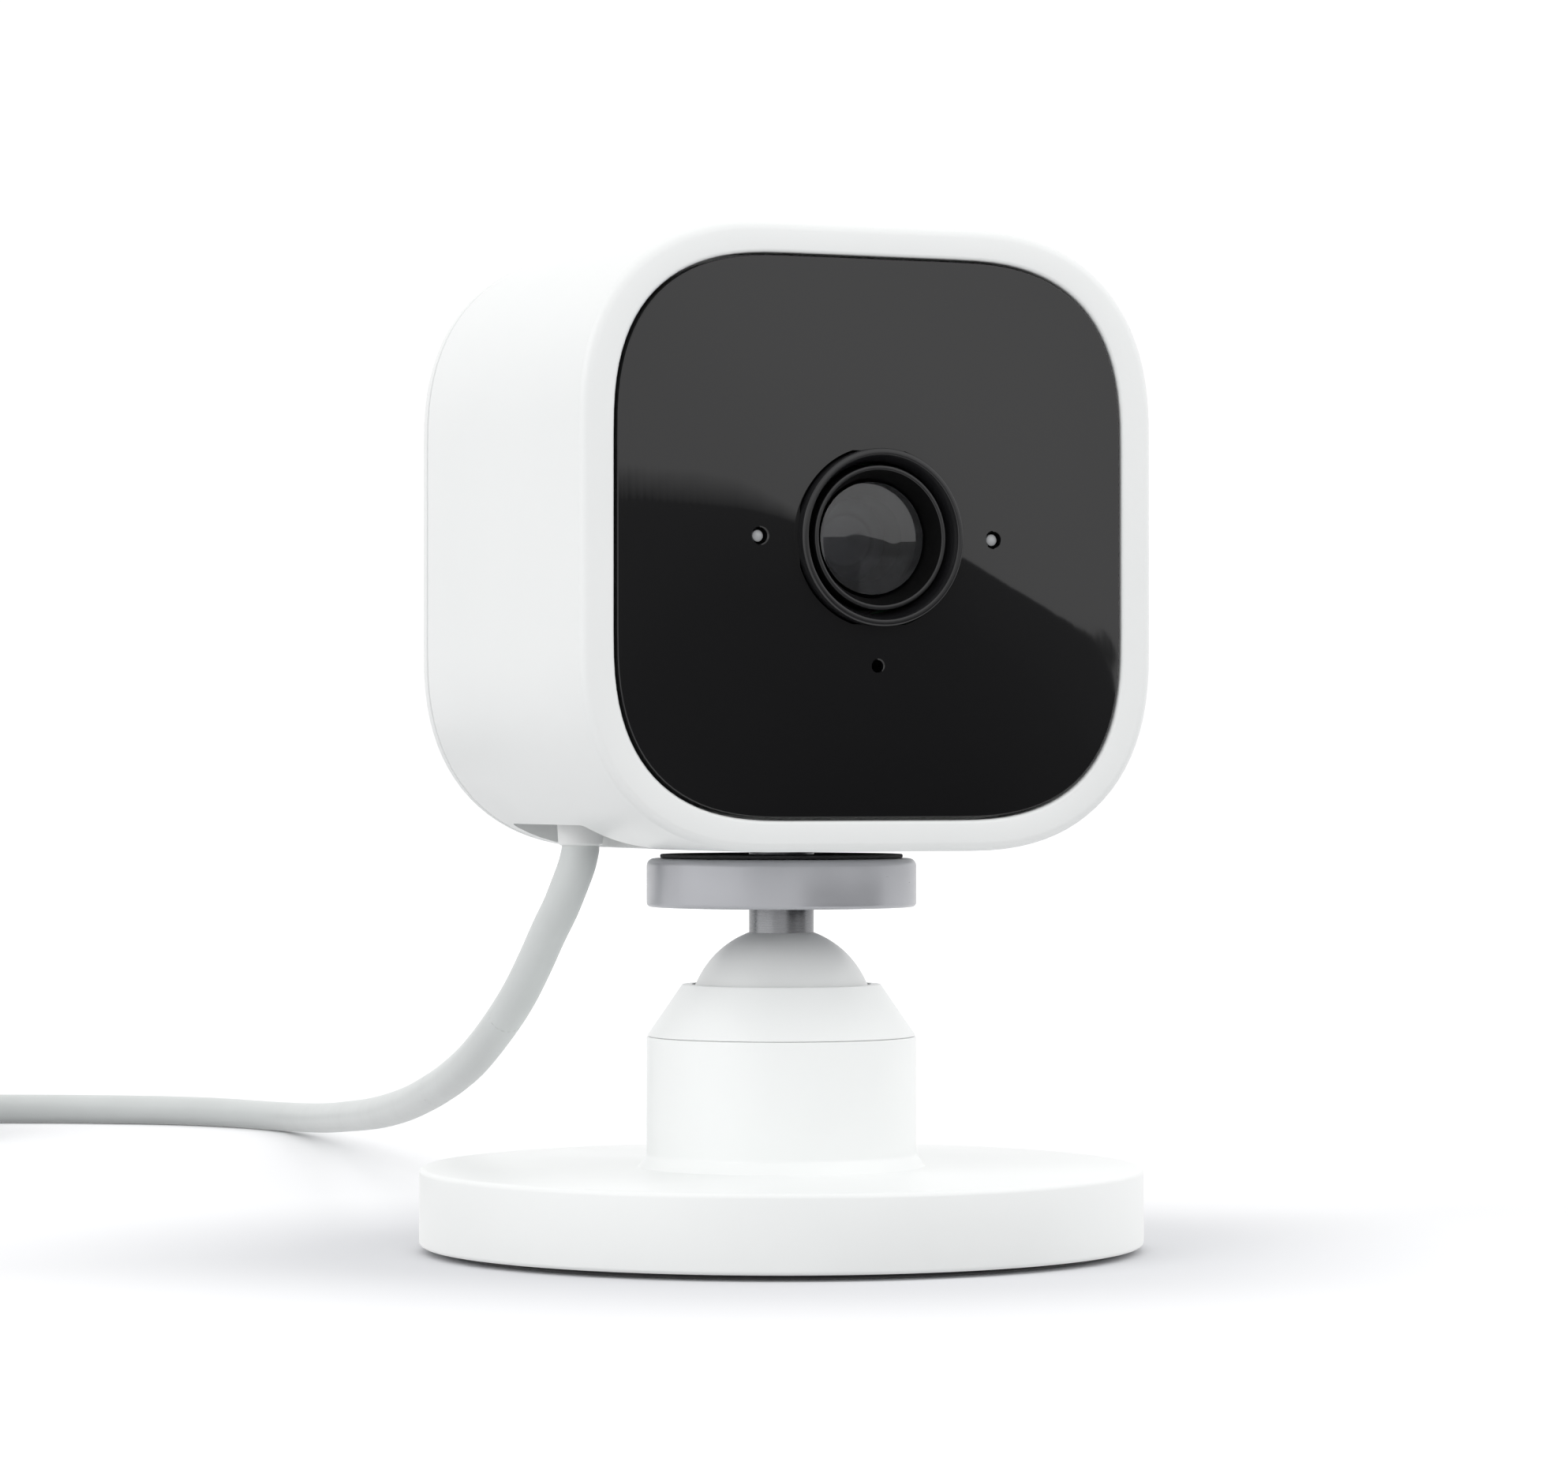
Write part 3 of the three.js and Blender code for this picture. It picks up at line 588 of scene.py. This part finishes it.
# ---- Ball joint ----
# A white ball on a plain steel stem. The stem passes through a grey disc, topped by a thin black pad, and turns in
# a socket in the head. A black acetal seat and friction cup grip the ball from below.

STEM_R, STEM_LOW, STEM_TOP = 2.65, 18.2, 41.1
STEM_HOLE_R = 2.7
HOLE_FLOOR = BALL_Z - 0.6
mouth = math.degrees(math.acos(STEM_HOLE_R / BALL_R))
ball_line = [
    (BALL_R * math.cos(math.radians(a)), BALL_Z + BALL_R * math.sin(math.radians(a)), 0)
    for a in [-90 + (90 + mouth) * k / 48 for k in range(49)]
]
ball_line[0] = (0, ball_line[0][1], 0)
ball = turned("stand_ball", eased([*ball_line, (STEM_HOLE_R, HOLE_FLOOR, 0), (0, HOLE_FLOOR, 0)]), 128)
# The ball's white is painted a little darker: painted shade for the disc's shadow over it.
ball_white_painted_shade = satin_white("ball_white_painted_shade", 0.36, 0.92)
ball_white_painted_shade.on(ball)
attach(ball, "arm")
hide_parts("ball")

stem_line = [(0, STEM_LOW, 0), (STEM_R, STEM_LOW, 0), (STEM_R, STEM_TOP, 0.5), (0, STEM_TOP, 0)]
stem = turned("stand_stem", eased(stem_line), 96)
turned_steel = rolled_steel("turned_steel", (0.235, 0.238, 0.248), 0.28, (1, 1, 14))
turned_steel.on(stem)
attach(stem, "arm")
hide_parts("ball_stem")

DISC_BORE, DISC_R, DISC_LOW, DISC_TOP = 2.95, 11, 27.9, 31.86
disc_line = [(DISC_BORE, DISC_LOW, 0), (DISC_R, DISC_LOW, 0.35), (DISC_R, DISC_TOP, 0.6), (DISC_BORE, DISC_TOP, 0)]
disc = turned("head_disc", eased(disc_line), 160, wrap=True)
disc_grey = Finish("disc_grey", IOR=1.5, Metallic=0.35)
disc_grey.feed(
    Base_Color=disc_grey.tint((0.40, 0.405, 0.43), (0.44, 0.445, 0.47), disc_grey.noise(8, 3)),
    Roughness=disc_grey.noise(3, 3, (1, 1, 6)) * 0.1 + 0.25,
    Normal=disc_grey.bump(disc_grey.noise(0.25, 2), 0.006, 0.35),
)
disc_grey.on(disc)
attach(disc, "arm")
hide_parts("mount_disc")

PAD_R, PAD_LOW, PAD_TOP = 9.9, 31.9, 32.2
pad_line = [(DISC_BORE, PAD_LOW, 0), (PAD_R, PAD_LOW, 0.1), (PAD_R, PAD_TOP, 0.1), (DISC_BORE, PAD_TOP, 0)]
pad = turned("head_pad", eased(pad_line), 128, wrap=True)
black_rubber.on(pad)
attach(pad, "arm")
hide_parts("disc_pad")


def matt_black(name, colour=(0.018, 0.018, 0.02), rough=0.5):
    """Black moulding for parts inside, with an eroded grain."""
    finish = Finish(name, IOR=1.48)
    finish.feed(
        Base_Color=finish.tint([c * 0.75 for c in colour], colour, finish.noise(4, 2)),
        Roughness=finish.noise(2, 2) * 0.12 + (rough - 0.06),
        Normal=finish.bump(finish.noise(0.3, 2), 0.008, 0.4),
    )
    return finish


acetal_black = matt_black("acetal_black", rough=0.42)
acetal_black.on("ball_seat", "friction_cup", "mount_socket")

# ---- Head: shell ----
# A white sleeve closed at the back by a snap-in cover, and at the front by the rim that frames the window. The
# underside has three openings: the plug's well, the stem's socket, and the reset button's hole.

HEAD_HALF_W, HEAD_HALF_H = 24.8, 24.7
WINDOW_HALF_W, WINDOW_HALF_H = 21.8, 22
HEAD_FRONT = -17.7
SEAM = 16.1
HEAD_BACK = 18.3
CORNER_STEPS = 22


def outline(half_w, half_h, corner, curve):
    """A rounded square with superellipse corners, as (across, up) points."""
    points = []
    for sx, sz, backwards in ((1, 1, 0), (-1, 1, 1), (-1, -1, 0), (1, -1, 1)):
        for i in range(CORNER_STEPS + 1):
            a = (CORNER_STEPS - i if backwards else i) / CORNER_STEPS * math.pi / 2
            x = half_w - corner + corner * math.cos(a) ** (2 / curve)
            z = half_h - corner + corner * math.sin(a) ** (2 / curve)
            points.append((sx * x, sz * z))
    return points


def head_outline(inset):
    return outline(HEAD_HALF_W - inset, HEAD_HALF_H - inset, 16 - inset, 2.36)


def window_outline(inset):
    return outline(WINDOW_HALF_W - inset, WINDOW_HALF_H - inset, 14.5 - inset, 2.64)


def ring_at(points, y, scale=1.0):
    """A ring of the head at one depth, or at a depth for each point."""
    return [
        Vector((x * scale, y(x * scale, z * scale) if callable(y) else y, z * scale + HEAD_Z)) for x, z in points
    ]


def carve(piece, *tools):
    """Cuts closed tools out of a piece, and drops the tools."""
    for tool in tools:
        cut = piece.modifiers.new("cut", "BOOLEAN")
        cut.operation, cut.solver, cut.object = "DIFFERENCE", "EXACT", tool
    depsgraph = bpy.context.evaluated_depsgraph_get()
    result = bpy.data.meshes.new_from_object(piece.evaluated_get(depsgraph))
    piece.modifiers.clear()
    piece.data = result
    for tool in tools:
        bpy.data.objects.remove(tool)
    return piece


WINDOW_GAP = 0.22
LIP = HEAD_HALF_W - WINDOW_HALF_W - WINDOW_GAP
sleeve_rings = []
for inset, y in eased(
    [
        (0, HEAD_FRONT, 0.75),
        (0, SEAM - 0.08, 0.16),
        (1.9, SEAM - 0.08, 0),
        (1.9, -13.8, 0),
        (4.4, -13.8, 0),
        (4.4, -15, 0),
        (LIP, -15, 0),
        (LIP, HEAD_FRONT, 0.3),
    ],
    7,
):
    shape = head_outline(inset) if inset < 2.2 else window_outline(inset - 3)
    sleeve_rings.append(ring_at(shape, y))
sleeve = skin("head_sleeve", sleeve_rings, wrap=True)
BUTTON_AT = (14.5, 4, 0)
carve(
    sleeve,
    block("well_cut", (-18, -1.3, 28), (-12, 14.4, 38.3), 0.6),
    turned("stem_cut", [(0, 30), (5.3, 30), (5.3, 36), (0, 36)], 64),
    turned("button_cut", [(0, 30), (2.25, 30), (2.25, 38.3), (0, 38.3)], 48, centre=BUTTON_AT),
)
sleeve.data.set_sharp_from_angle(angle=math.radians(35))
head_white = satin_white("head_white", 0.36)
head_white.on(sleeve, "cable_well")
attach(sleeve, "head")
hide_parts("housing")

cover_rings = []
for inset, y in eased([(0, SEAM, 0.16), (0, HEAD_BACK, 1.7), (3.4, HEAD_BACK, 0)], 8)[:-1]:
    cover_rings.append(ring_at(head_outline(inset), y))
flat = head_outline(3.4)
cover_rings += [ring_at(flat, HEAD_BACK, k) for k in (1, 0.66, 0.33)] + [[Vector((0, HEAD_BACK, HEAD_Z))]]
front_side = [[Vector((0, SEAM, HEAD_Z))]] + [ring_at(flat, SEAM, k) for k in (0.33, 0.66, 1)]
skirt = [ring_at(head_outline(i), y) for i, y in ((3.4, SEAM - 1.5), (2.2, SEAM - 1.5), (2.2, SEAM))]
cover = skin("head_cover", front_side + skirt + cover_rings)


def grille_cutters():
    """The speaker grille's holes: rings of round holes, as one mesh of closed pins."""
    tree = bpy.data.node_groups.new("grille_holes", "GeometryNodeTree")
    sizes_given = {}
    for socket, kind, value in (
        ("Hole radius", "NodeSocketFloat", 0.6 * MM),
        ("Ring spacing", "NodeSocketFloat", 2.5 * MM),
        ("Rings", "NodeSocketInt", 3),
        ("Depth", "NodeSocketFloat", 6 * MM),
    ):
        item = tree.interface.new_socket(socket, in_out="INPUT", socket_type=kind)
        sizes_given[item.identifier] = value
    tree.interface.new_socket("Geometry", in_out="OUTPUT", socket_type="NodeSocketGeometry")

    def add(kind, settings=None, inputs=None):
        made = tree.nodes.new(kind)
        for key, value in (settings or {}).items():
            setattr(made, key, value)
        for key, value in (inputs or {}).items():
            if isinstance(value, bpy.types.NodeSocket):
                tree.links.new(value, made.inputs[key])
            else:
                made.inputs[key].default_value = value
        return made

    sizes = add("NodeGroupInput").outputs
    pin = add(
        "GeometryNodeMeshCylinder",
        None,
        {"Vertices": 20, "Radius": sizes["Hole radius"], "Depth": sizes["Depth"]},
    )
    joined_rings = add("GeometryNodeJoinGeometry")
    middle = add("GeometryNodeMeshLine", {"mode": "OFFSET"}, {"Count": 1})
    tree.links.new(middle.outputs["Mesh"], joined_rings.inputs["Geometry"])
    for ring in (1, 2, 3):
        radius = add("ShaderNodeMath", {"operation": "MULTIPLY"}, {0: sizes["Ring spacing"], 1: float(ring)})
        circle = add("GeometryNodeMeshCircle", None, {"Vertices": 6 * ring, "Radius": radius.outputs[0]})
        shown = add("ShaderNodeMath", {"operation": "LESS_THAN"}, {0: sizes["Rings"], 1: float(ring)})
        kept = add(
            "GeometryNodeDeleteGeometry",
            {"domain": "POINT"},
            {"Geometry": circle.outputs["Mesh"], "Selection": shown.outputs[0]},
        )
        tree.links.new(kept.outputs[0], joined_rings.inputs["Geometry"])
    spots = {"Points": joined_rings.outputs[0], "Instance": pin.outputs["Mesh"]}
    pins = add("GeometryNodeInstanceOnPoints", None, spots)
    real = add("GeometryNodeRealizeInstances", None, {"Geometry": pins.outputs[0]})
    painted = add("GeometryNodeSetMaterial", None, {"Geometry": real.outputs[0]})
    painted.inputs["Material"].default_value = head_white.material
    tree.links.new(painted.outputs[0], add("NodeGroupOutput").inputs["Geometry"])

    cutter = add_piece("grille_cut", bpy.data.meshes.new("grille_cut"))
    holes = cutter.modifiers.new("holes", "NODES")
    holes.node_group = tree
    for identifier, value in sizes_given.items():
        holes[identifier] = value
    depsgraph = bpy.context.evaluated_depsgraph_get()
    mesh = bpy.data.meshes.new_from_object(cutter.evaluated_get(depsgraph))
    cutter.modifiers.clear()
    mesh.transform(Matrix.Translation((0, SEAM * MM, HEAD_Z * MM)) @ Matrix.Rotation(math.pi / 2, 4, "X"))
    cutter.data = mesh
    return cutter


carve(cover, grille_cutters(), block("skirt_cut", (-19.2, 13, 30), (-10.8, SEAM, 42.3), 0.1))
cover.data.set_sharp_from_angle(angle=math.radians(35))
head_white.on(cover)
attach(cover, "head")
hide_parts("rear_cover")

# ---- Head: window ----
# A glossy black acrylic plate, slightly domed, with a hole for the lens, two for the status lights and one for the
# microphone. Its edge is just shy of the rim's lip.

WINDOW_BACK = -16.1
DOME = 1.1
LENS_HOLE_R = 7.2
LED_X = 10.15
MIC_Z = -10.1


def window_face(x, z):
    """The depth of the window's face: proud of its edge by the dome's height in the middle."""
    return HEAD_FRONT - DOME * (1 - (x / WINDOW_HALF_W) ** 2) * (1 - (z / WINDOW_HALF_H) ** 2)


def window_normal(x, z):
    """The face's own normal there, so the wide faces mirror without facets."""
    across = DOME * 2 * x / WINDOW_HALF_W**2 * (1 - (z / WINDOW_HALF_H) ** 2)
    up = DOME * 2 * z / WINDOW_HALF_H**2 * (1 - (x / WINDOW_HALF_W) ** 2)
    return Vector((across, -1, up)).normalized()


EDGE = 0.12
edge = [(0, WINDOW_BACK, 0), (0, EDGE, 1)] + [
    (EDGE * (1 - math.cos(a)), EDGE * (1 - math.sin(a)), 1) for a in (math.pi / 2 * k / 5 for k in range(1, 6))
]
window_rings = []
for inset, depth, on_face in edge:
    points = window_outline(inset)
    window_rings.append(ring_at(points, (lambda x, z, d=depth: window_face(x, z) + d) if on_face else depth))
rim = window_outline(EDGE)
hole = [Vector(p).normalized() * LENS_HOLE_R for p in rim]
for share in [0.02] + [k / 24 for k in range(1, 24)] + [0.985, 1]:
    points = [Vector(p).lerp(q, share) for p, q in zip(rim, hole)]
    window_rings.append(ring_at(points, window_face))
window_rings.append(ring_at(hole, WINDOW_BACK))
window = skin("head_window", window_rings, wrap=True)


def pinhole(name, x, z, radius, chamfer=0.1):
    """A cutter for a small hole with a chamfered mouth."""
    face = window_face(x, z)
    profile = [
        (0, face - 1),
        (radius + chamfer + 1, face - 1),
        (radius, face + chamfer),
        (radius, WINDOW_BACK + 1),
        (0, WINDOW_BACK + 1),
    ]
    return turned(name, profile, 40, axis="Y", centre=(x, 0, z + HEAD_Z))


carve(
    window,
    pinhole("led_cut_left", -LED_X, 0, 0.66),
    pinhole("led_cut_right", LED_X, 0, 0.66),
    pinhole("mic_cut", 0, MIC_Z, 0.5),
)
window.data.set_sharp_from_angle(angle=math.radians(35))
corner_normals = [n.vector.copy() for n in window.data.corner_normals]
for face in window.data.polygons:
    if face.normal.y < -0.97:
        for corner in face.loop_indices:
            at = window.data.vertices[window.data.loops[corner].vertex_index].co / MM
            corner_normals[corner] = window_normal(at.x, at.z - HEAD_Z)
window.data.normals_split_custom_set(corner_normals)

window_black = Finish("window_black", IOR=1.49)
window_black.feed(
    Base_Color=window_black.tint((0.004, 0.004, 0.0045), (0.006, 0.006, 0.0065), window_black.noise(20, 2)),
    Roughness=window_black.noise(9, 4) * 0.02 + 0.01,
)
window_black.on(window)
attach(window, "head")
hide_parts("front_window")

# ---- Head: lens ----
# A black trim ring with a dished mouth, the barrel's lip inside it, and a coated glass element at the bottom.

ring = turned(
    "lens_trim",
    eased([(6, -15.8, 0), (7, -15.8, 0), (7, -19.7, 0.22), (6.5, -19.7, 0.1), (6, -18.4, 0.1)]),
    128,
    "Y",
    (0, 0, HEAD_Z),
    wrap=True,
)
barrel = turned(
    "lens_mouth",
    eased(
        [
            (4.75, -14.6, 0),
            (3.2, -14.6, 0),
            (3.2, -9, 0),
            (4.75, -9, 0),
            (4.75, -13.9, 0),
            (5.7, -13.9, 0),
            (5.7, -19.05, 0.12),
            (5.35, -19.05, 0.1),
            (4.75, -17.5, 0),
        ]
    ),
    128,
    "Y",
    (0, 0, HEAD_Z),
    wrap=True,
)
lens_black = Finish("lens_black", IOR=1.5)
lens_black.feed(
    Base_Color=lens_black.tint((0.006, 0.006, 0.007), (0.012, 0.012, 0.013), lens_black.noise(3, 2)),
    Roughness=lens_black.noise(1.2, 2) * 0.06 + 0.2,
)
lens_black.on(ring, barrel, "lens_holder")
# The mouth's inside is flocked, so it stays black, and only its lip shines.
FLOCKED_R = 5.32
funnel_black = Finish("funnel_black", IOR=1.2)
funnel_black.feed(
    Base_Color=funnel_black.tint((0.001, 0.001, 0.0011), (0.003, 0.003, 0.0032), funnel_black.noise(0.8, 3)),
    Roughness=funnel_black.noise(0.5, 2) * 0.2 + 0.6,
)
barrel.data.materials.append(funnel_black.material)
for face in barrel.data.polygons:
    out = Vector((face.center.x, 0, face.center.z - HEAD_Z * MM)).length / MM
    face.material_index = 1 if out < FLOCKED_R else 0
for piece, node in ((ring, "lens_ring"), (barrel, "lens_barrel")):
    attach(piece, "head")
    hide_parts(node)

GLASS_CURVE = 20
glass_line = [
    (GLASS_CURVE * math.sin(math.radians(a)), 2.1 - GLASS_CURVE * math.cos(math.radians(a)), 0) for a in range(0, 13)
]
glass = turned(
    "lens_glass", eased([*glass_line, (4.45, -17.38, 0), (4.45, -14.9, 0), (0, -14.9, 0)]), 96, "Y", (0, 0, HEAD_Z)
)
lens_glass = Finish("lens_glass", IOR=1.55, Roughness=0.0, Transmission_Weight=1.0, Coat_Weight=0.0)
lens_glass.feed(Base_Color=lens_glass.tint((0.26, 0.265, 0.28), (0.31, 0.315, 0.33), lens_glass.noise(12, 2)))
lens_glass.on(glass)
# The rear element is coated dark, and painted in lighter and darker rings: a painted reflection of the lens's
# insides.
coated = Finish("rear_glass_painted_reflection", IOR=1.5)
from_axis = coated.node(
    "ShaderNodeVectorMath", {"operation": "SUBTRACT"}, {0: coated.place, 1: (0, -0.012, HEAD_Z * MM)}
)
spread = coated.node("ShaderNodeVectorMath", {"operation": "MULTIPLY"}, {0: from_axis, 1: (1, 0, 1)})
REAR_LENS_R = 3.2
from_middle = coated.node("ShaderNodeVectorMath", {"operation": "LENGTH"}, {0: spread}, "Value")
PAINTED_REFLECTION_RINGS = [
    (0.0, (0.10, 0.10, 0.12, 1)),
    (0.5, (0.17, 0.17, 0.19, 1)),
    (0.56, (0.04, 0.04, 0.05, 1)),
    (0.68, (0.13, 0.13, 0.15, 1)),
    (1.0, (0.05, 0.05, 0.06, 1)),
]
painted_reflection_rings = coated.node(
    "ShaderNodeValToRGB", {"stops": PAINTED_REFLECTION_RINGS}, {"Fac": from_middle * (1 / (REAR_LENS_R * MM))}, "Color"
)
coated.feed(Base_Color=painted_reflection_rings, Roughness=coated.noise(1, 2) * 0.1 + 0.3)
coated.on("rear_lens", "infrared_filter")
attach(glass, "head")
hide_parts("front_lens")

# ---- Head: lights, microphone and button ----
# Clear light pipes stand in the window's small holes, lit by two lamps on the front board. The reset button is a
# grey pin, a little below the surface of the head's underside.

milky = Finish("milky_plastic", IOR=1.46)
milky.feed(
    Base_Color=milky.tint((0.36, 0.37, 0.38), (0.48, 0.49, 0.50), milky.noise(0.5, 2)),
    Roughness=milky.noise(0.6, 2) * 0.2 + 0.15,
)
# A domed tip and a flange behind the window.
pipe_line = [(0, -18.22), (0.25, -18.2), (0.45, -18.08), (0.45, -15.8), (1.1, -15.8), (1.1, -14.7), (0, -14.7)]
for side, x in (("left", -LED_X), ("right", LED_X)):
    pipe = turned("light_tip_" + side, pipe_line, 40, "Y", (x, 0, HEAD_Z))
    milky.on(pipe)
    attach(pipe, "head")
    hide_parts("light_pipe_" + side)
milky.on("status_led_left", "status_led_right")

# The pin, the shoulder that keeps it in, and the nib that presses the switch, measured from the head's middle.
pin_line = [
    (0, -23.4, 0),
    (2, -23.4, 0.3),
    (2, -20.4, 0),
    (2.8, -20.4, 0),
    (2.8, -19.7, 0),
    (1, -19.7, 0),
    (1, -19.3, 0),
    (0, -19.3, 0),
]
button = turned("reset_pin", [(r, h + HEAD_Z) for r, h in eased(pin_line)], 64, centre=BUTTON_AT)
button_grey = matt_black("button_grey", (0.36, 0.365, 0.38), 0.5)
button_grey.on(button)
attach(button, "button")
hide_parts("reset_button")

# ---- Head: inside ----
# Boards, sensor, speaker and cooling keep their CAD shapes. They are closed in, and only a look from below or
# through the grille shows a little of them.

matt_black("inner_black").on("inner_frame", "speaker", "reset_switch", "processor", "image_sensor")
rubber("soft_foam", (0.05, 0.05, 0.052), 0.9).on("window_gasket", "speaker_gasket", "sensor_flex")
board_green = Finish("board_green", IOR=1.5, Coat_Weight=0.5, Coat_Roughness=0.2)
board_green.feed(
    Base_Color=board_green.tint((0.012, 0.09, 0.035), (0.03, 0.16, 0.07), board_green.noise(2.2, 4)),
    Roughness=board_green.noise(1, 3) * 0.2 + 0.3,
    Normal=board_green.bump(board_green.noise(0.8, 3), 0.02, 0.5),
)
board_green.on("sensor_board", "front_board", "main_board", "wifi_antenna")
plated_steel.on(
    "microphone", "shield_can", "usb_socket", "frame_screw_1", "frame_screw_2", "frame_screw_3", "frame_screw_4"
)
rolled_steel("bent_aluminium", (0.75, 0.76, 0.77), 0.4).on("heat_spreader")

# ---- Studio ----
# A white floor that runs out of sight, a white tent, and soft lamps high at the left and right. The lamps only
# light. What glossy pieces mirror is the tent, a bright wall with a dark table in front of it, and one softbox.

floor_mesh = bpy.data.meshes.new("floor")
FLOOR_Z = -0.00005
corners = [(x, y, FLOOR_Z) for x, y in ((-8, -8), (8, -8), (8, 8), (-8, 8))]
floor_mesh.from_pydata(corners, [], [(0, 1, 2, 3)])
floor = add_piece("floor", floor_mesh)
floor.visible_glossy = False
floor_paint = Finish("floor_paint", Roughness=0.7, Specular_IOR_Level=0.0, Emission_Strength=1.0)


def floor_ramp(near, far):
    """0 up to a distance from a point by the stand, 1 past another, and smooth between."""
    place = floor_paint.node("ShaderNodeVectorMath", None, {0: floor_paint.place, 1: (0.003, -0.001, 0)})
    out = floor_paint.node("ShaderNodeVectorMath", {"operation": "LENGTH"}, {0: place}, "Value")
    return floor_paint.node(
        "ShaderNodeMapRange", {"interpolation_type": "SMOOTHSTEP"}, {"Value": out, "From Min": near, "From Max": far}
    )


# The floor is painted a little greyer round the stand, a painted soft shadow, and grows brighter far out, into
# the tent. Less of its light comes back up than the eye would say.
floor_painted_shadow = floor_paint.tint((0.71, 0.715, 0.735), (0.915, 0.918, 0.929), floor_ramp(0.024, 0.07))
bounce = floor_paint.node("ShaderNodeLightPath", output="Is Diffuse Ray")
floor_paint.feed(
    Base_Color=floor_paint.node(
        "ShaderNodeMix",
        {"data_type": "RGBA"},
        {"Factor": bounce * (floor_paint.noise(40, 2) * 0.04 + 0.98), "A": floor_painted_shadow, "B": (0.6, 0.6, 0.61, 1)},
        "Result",
    )
)
floor_paint.feed(Emission_Color=floor_paint.tint((0, 0, 0), (0.4, 0.4, 0.4), floor_ramp(0.12, 0.7)))
floor_paint.on(floor)

TENT_SEEN, TENT_LIGHT, TENT_MIRRORED = 1.05, 0.86, 1.1
world = bpy.data.worlds.new("tent")
bpy.context.scene.world = world
world.use_nodes = True
sky = world.node_tree.nodes["Background"]
rays = world.node_tree.nodes.new("ShaderNodeLightPath")
level = TENT_MIRRORED
for ray, value in (("Is Diffuse Ray", TENT_LIGHT), ("Is Camera Ray", TENT_SEEN)):
    mix = world.node_tree.nodes.new("ShaderNodeMix")
    world.node_tree.links.new(rays.outputs[ray], mix.inputs["Factor"])
    if isinstance(level, float):
        mix.inputs["A"].default_value = level
    else:
        world.node_tree.links.new(level, mix.inputs["A"])
    mix.inputs["B"].default_value = value
    level = mix.outputs["Result"]
world.node_tree.links.new(level, sky.inputs["Strength"])
sky.inputs["Color"].default_value = (1, 1, 1, 1)


def soft_lamp(name, place, size, radiance):
    """A square lamp that lights and isn't mirrored."""
    lamp = bpy.data.objects.new(name, bpy.data.lights.new(name, "AREA"))
    bpy.context.scene.collection.objects.link(lamp)
    lamp.data.size = size
    lamp.data.energy = radiance * math.pi * size * size
    lamp.location = place
    lamp.rotation_euler = (Vector(place) - Vector((0, 0, 0.04))).to_track_quat("Z", "Y").to_euler()
    lamp.visible_glossy = False


soft_lamp("lamp_left", (-0.75, -0.15, 0.6), 0.6, 1.9)
soft_lamp("lamp_right", (0.75, -0.15, 0.6), 0.6, 1.6)
soft_lamp("lamp_top", (0, 0.1, 0.9), 0.8, 0.3)
soft_lamp("lamp_front", (0.15, -0.9, 0.45), 0.6, 0.7)
soft_lamp("lamp_back", (0.2, 0.9, 0.3), 0.7, 0.2)

WALL_R = 2.0


def mirrored_wall(name, columns):
    """A curved wall round the object, seen only in mirroring surfaces. Each column is an angle from the head's
    front and a list of heights with their brightness."""
    bm = bmesh.new()
    glow = bm.verts.layers.float.new("glow")
    grid = []
    for angle, rows in columns:
        a = math.radians(angle)
        grid.append([])
        for height, light in rows:
            vertex = bm.verts.new((WALL_R * math.sin(a), -WALL_R * math.cos(a), height))
            vertex[glow] = light
            grid[-1].append(vertex)
    for left, right in zip(grid, grid[1:]):
        for i in range(len(left) - 1):
            bm.faces.new((left[i], right[i], right[i + 1], left[i + 1]))
    mesh = bpy.data.meshes.new(name)
    bm.to_mesh(mesh)
    bm.free()
    wall = add_piece(name, mesh)
    for ray in ("camera", "diffuse", "transmission", "volume_scatter", "shadow"):
        setattr(wall, "visible_" + ray, False)
    paint = Finish(name + "_light", Base_Color=(0, 0, 0, 1), Specular_IOR_Level=0.0, Emission_Strength=1.0)
    paint.feed(Emission_Color=paint.node("ShaderNodeAttribute", {"attribute_name": "glow"}, output="Color"))
    paint.on(wall)


# The dark table's far edge, and the top of the blurred dark hump that stands on it: angle, low and high edge.
table_edge = [
    (-4, 0.14, 0.142),
    (9.5, 0.15, 0.152),
    (10.5, 0.151, 0.157),
    (11.3, 0.155, 0.17),
    (12.8, 0.166, 0.19),
    (14.1, 0.172, 0.205),
    (15.2, 0.176, 0.215),
    (17.1, 0.179, 0.22),
    (18.2, 0.176, 0.213),
    (19.3, 0.17, 0.2),
    (20.7, 0.157, 0.178),
    (25, 0.134, 0.15),
    (29.9, 0.109, 0.112),
    (31.2, 0.091, 0.094),
    (32.5, 0.076, 0.079),
    (33.8, 0.067, 0.07),
    (34.9, 0.063, 0.066),
    (35.8, 0.065, 0.068),
    (36.5, 0.071, 0.074),
    (37.3, 0.084, 0.087),
    (38.5, 0.095, 0.098),
    (48, 0.106, 0.109),
    (70, 0.106, 0.109),
]
wall_columns = []
for a, low, high in table_edge:
    table = [(-1.3, 0.05), (-0.4, 0.08), (low - 0.12, 0.16), (low, 0.22), (low + 0.002, 0.36)]
    wall_columns.append((a, [*table, (high, 1.3), (high + 0.25, 1.4), (1.6, 1.6)]))
mirrored_wall("wall_and_table", wall_columns)
mirrored_wall("softbox", [(a, [(-0.3, 1.5), (1.2, 1.7)]) for a in range(-119, -54, 8)])
bpy.context.scene.view_settings.view_transform = "Standard"
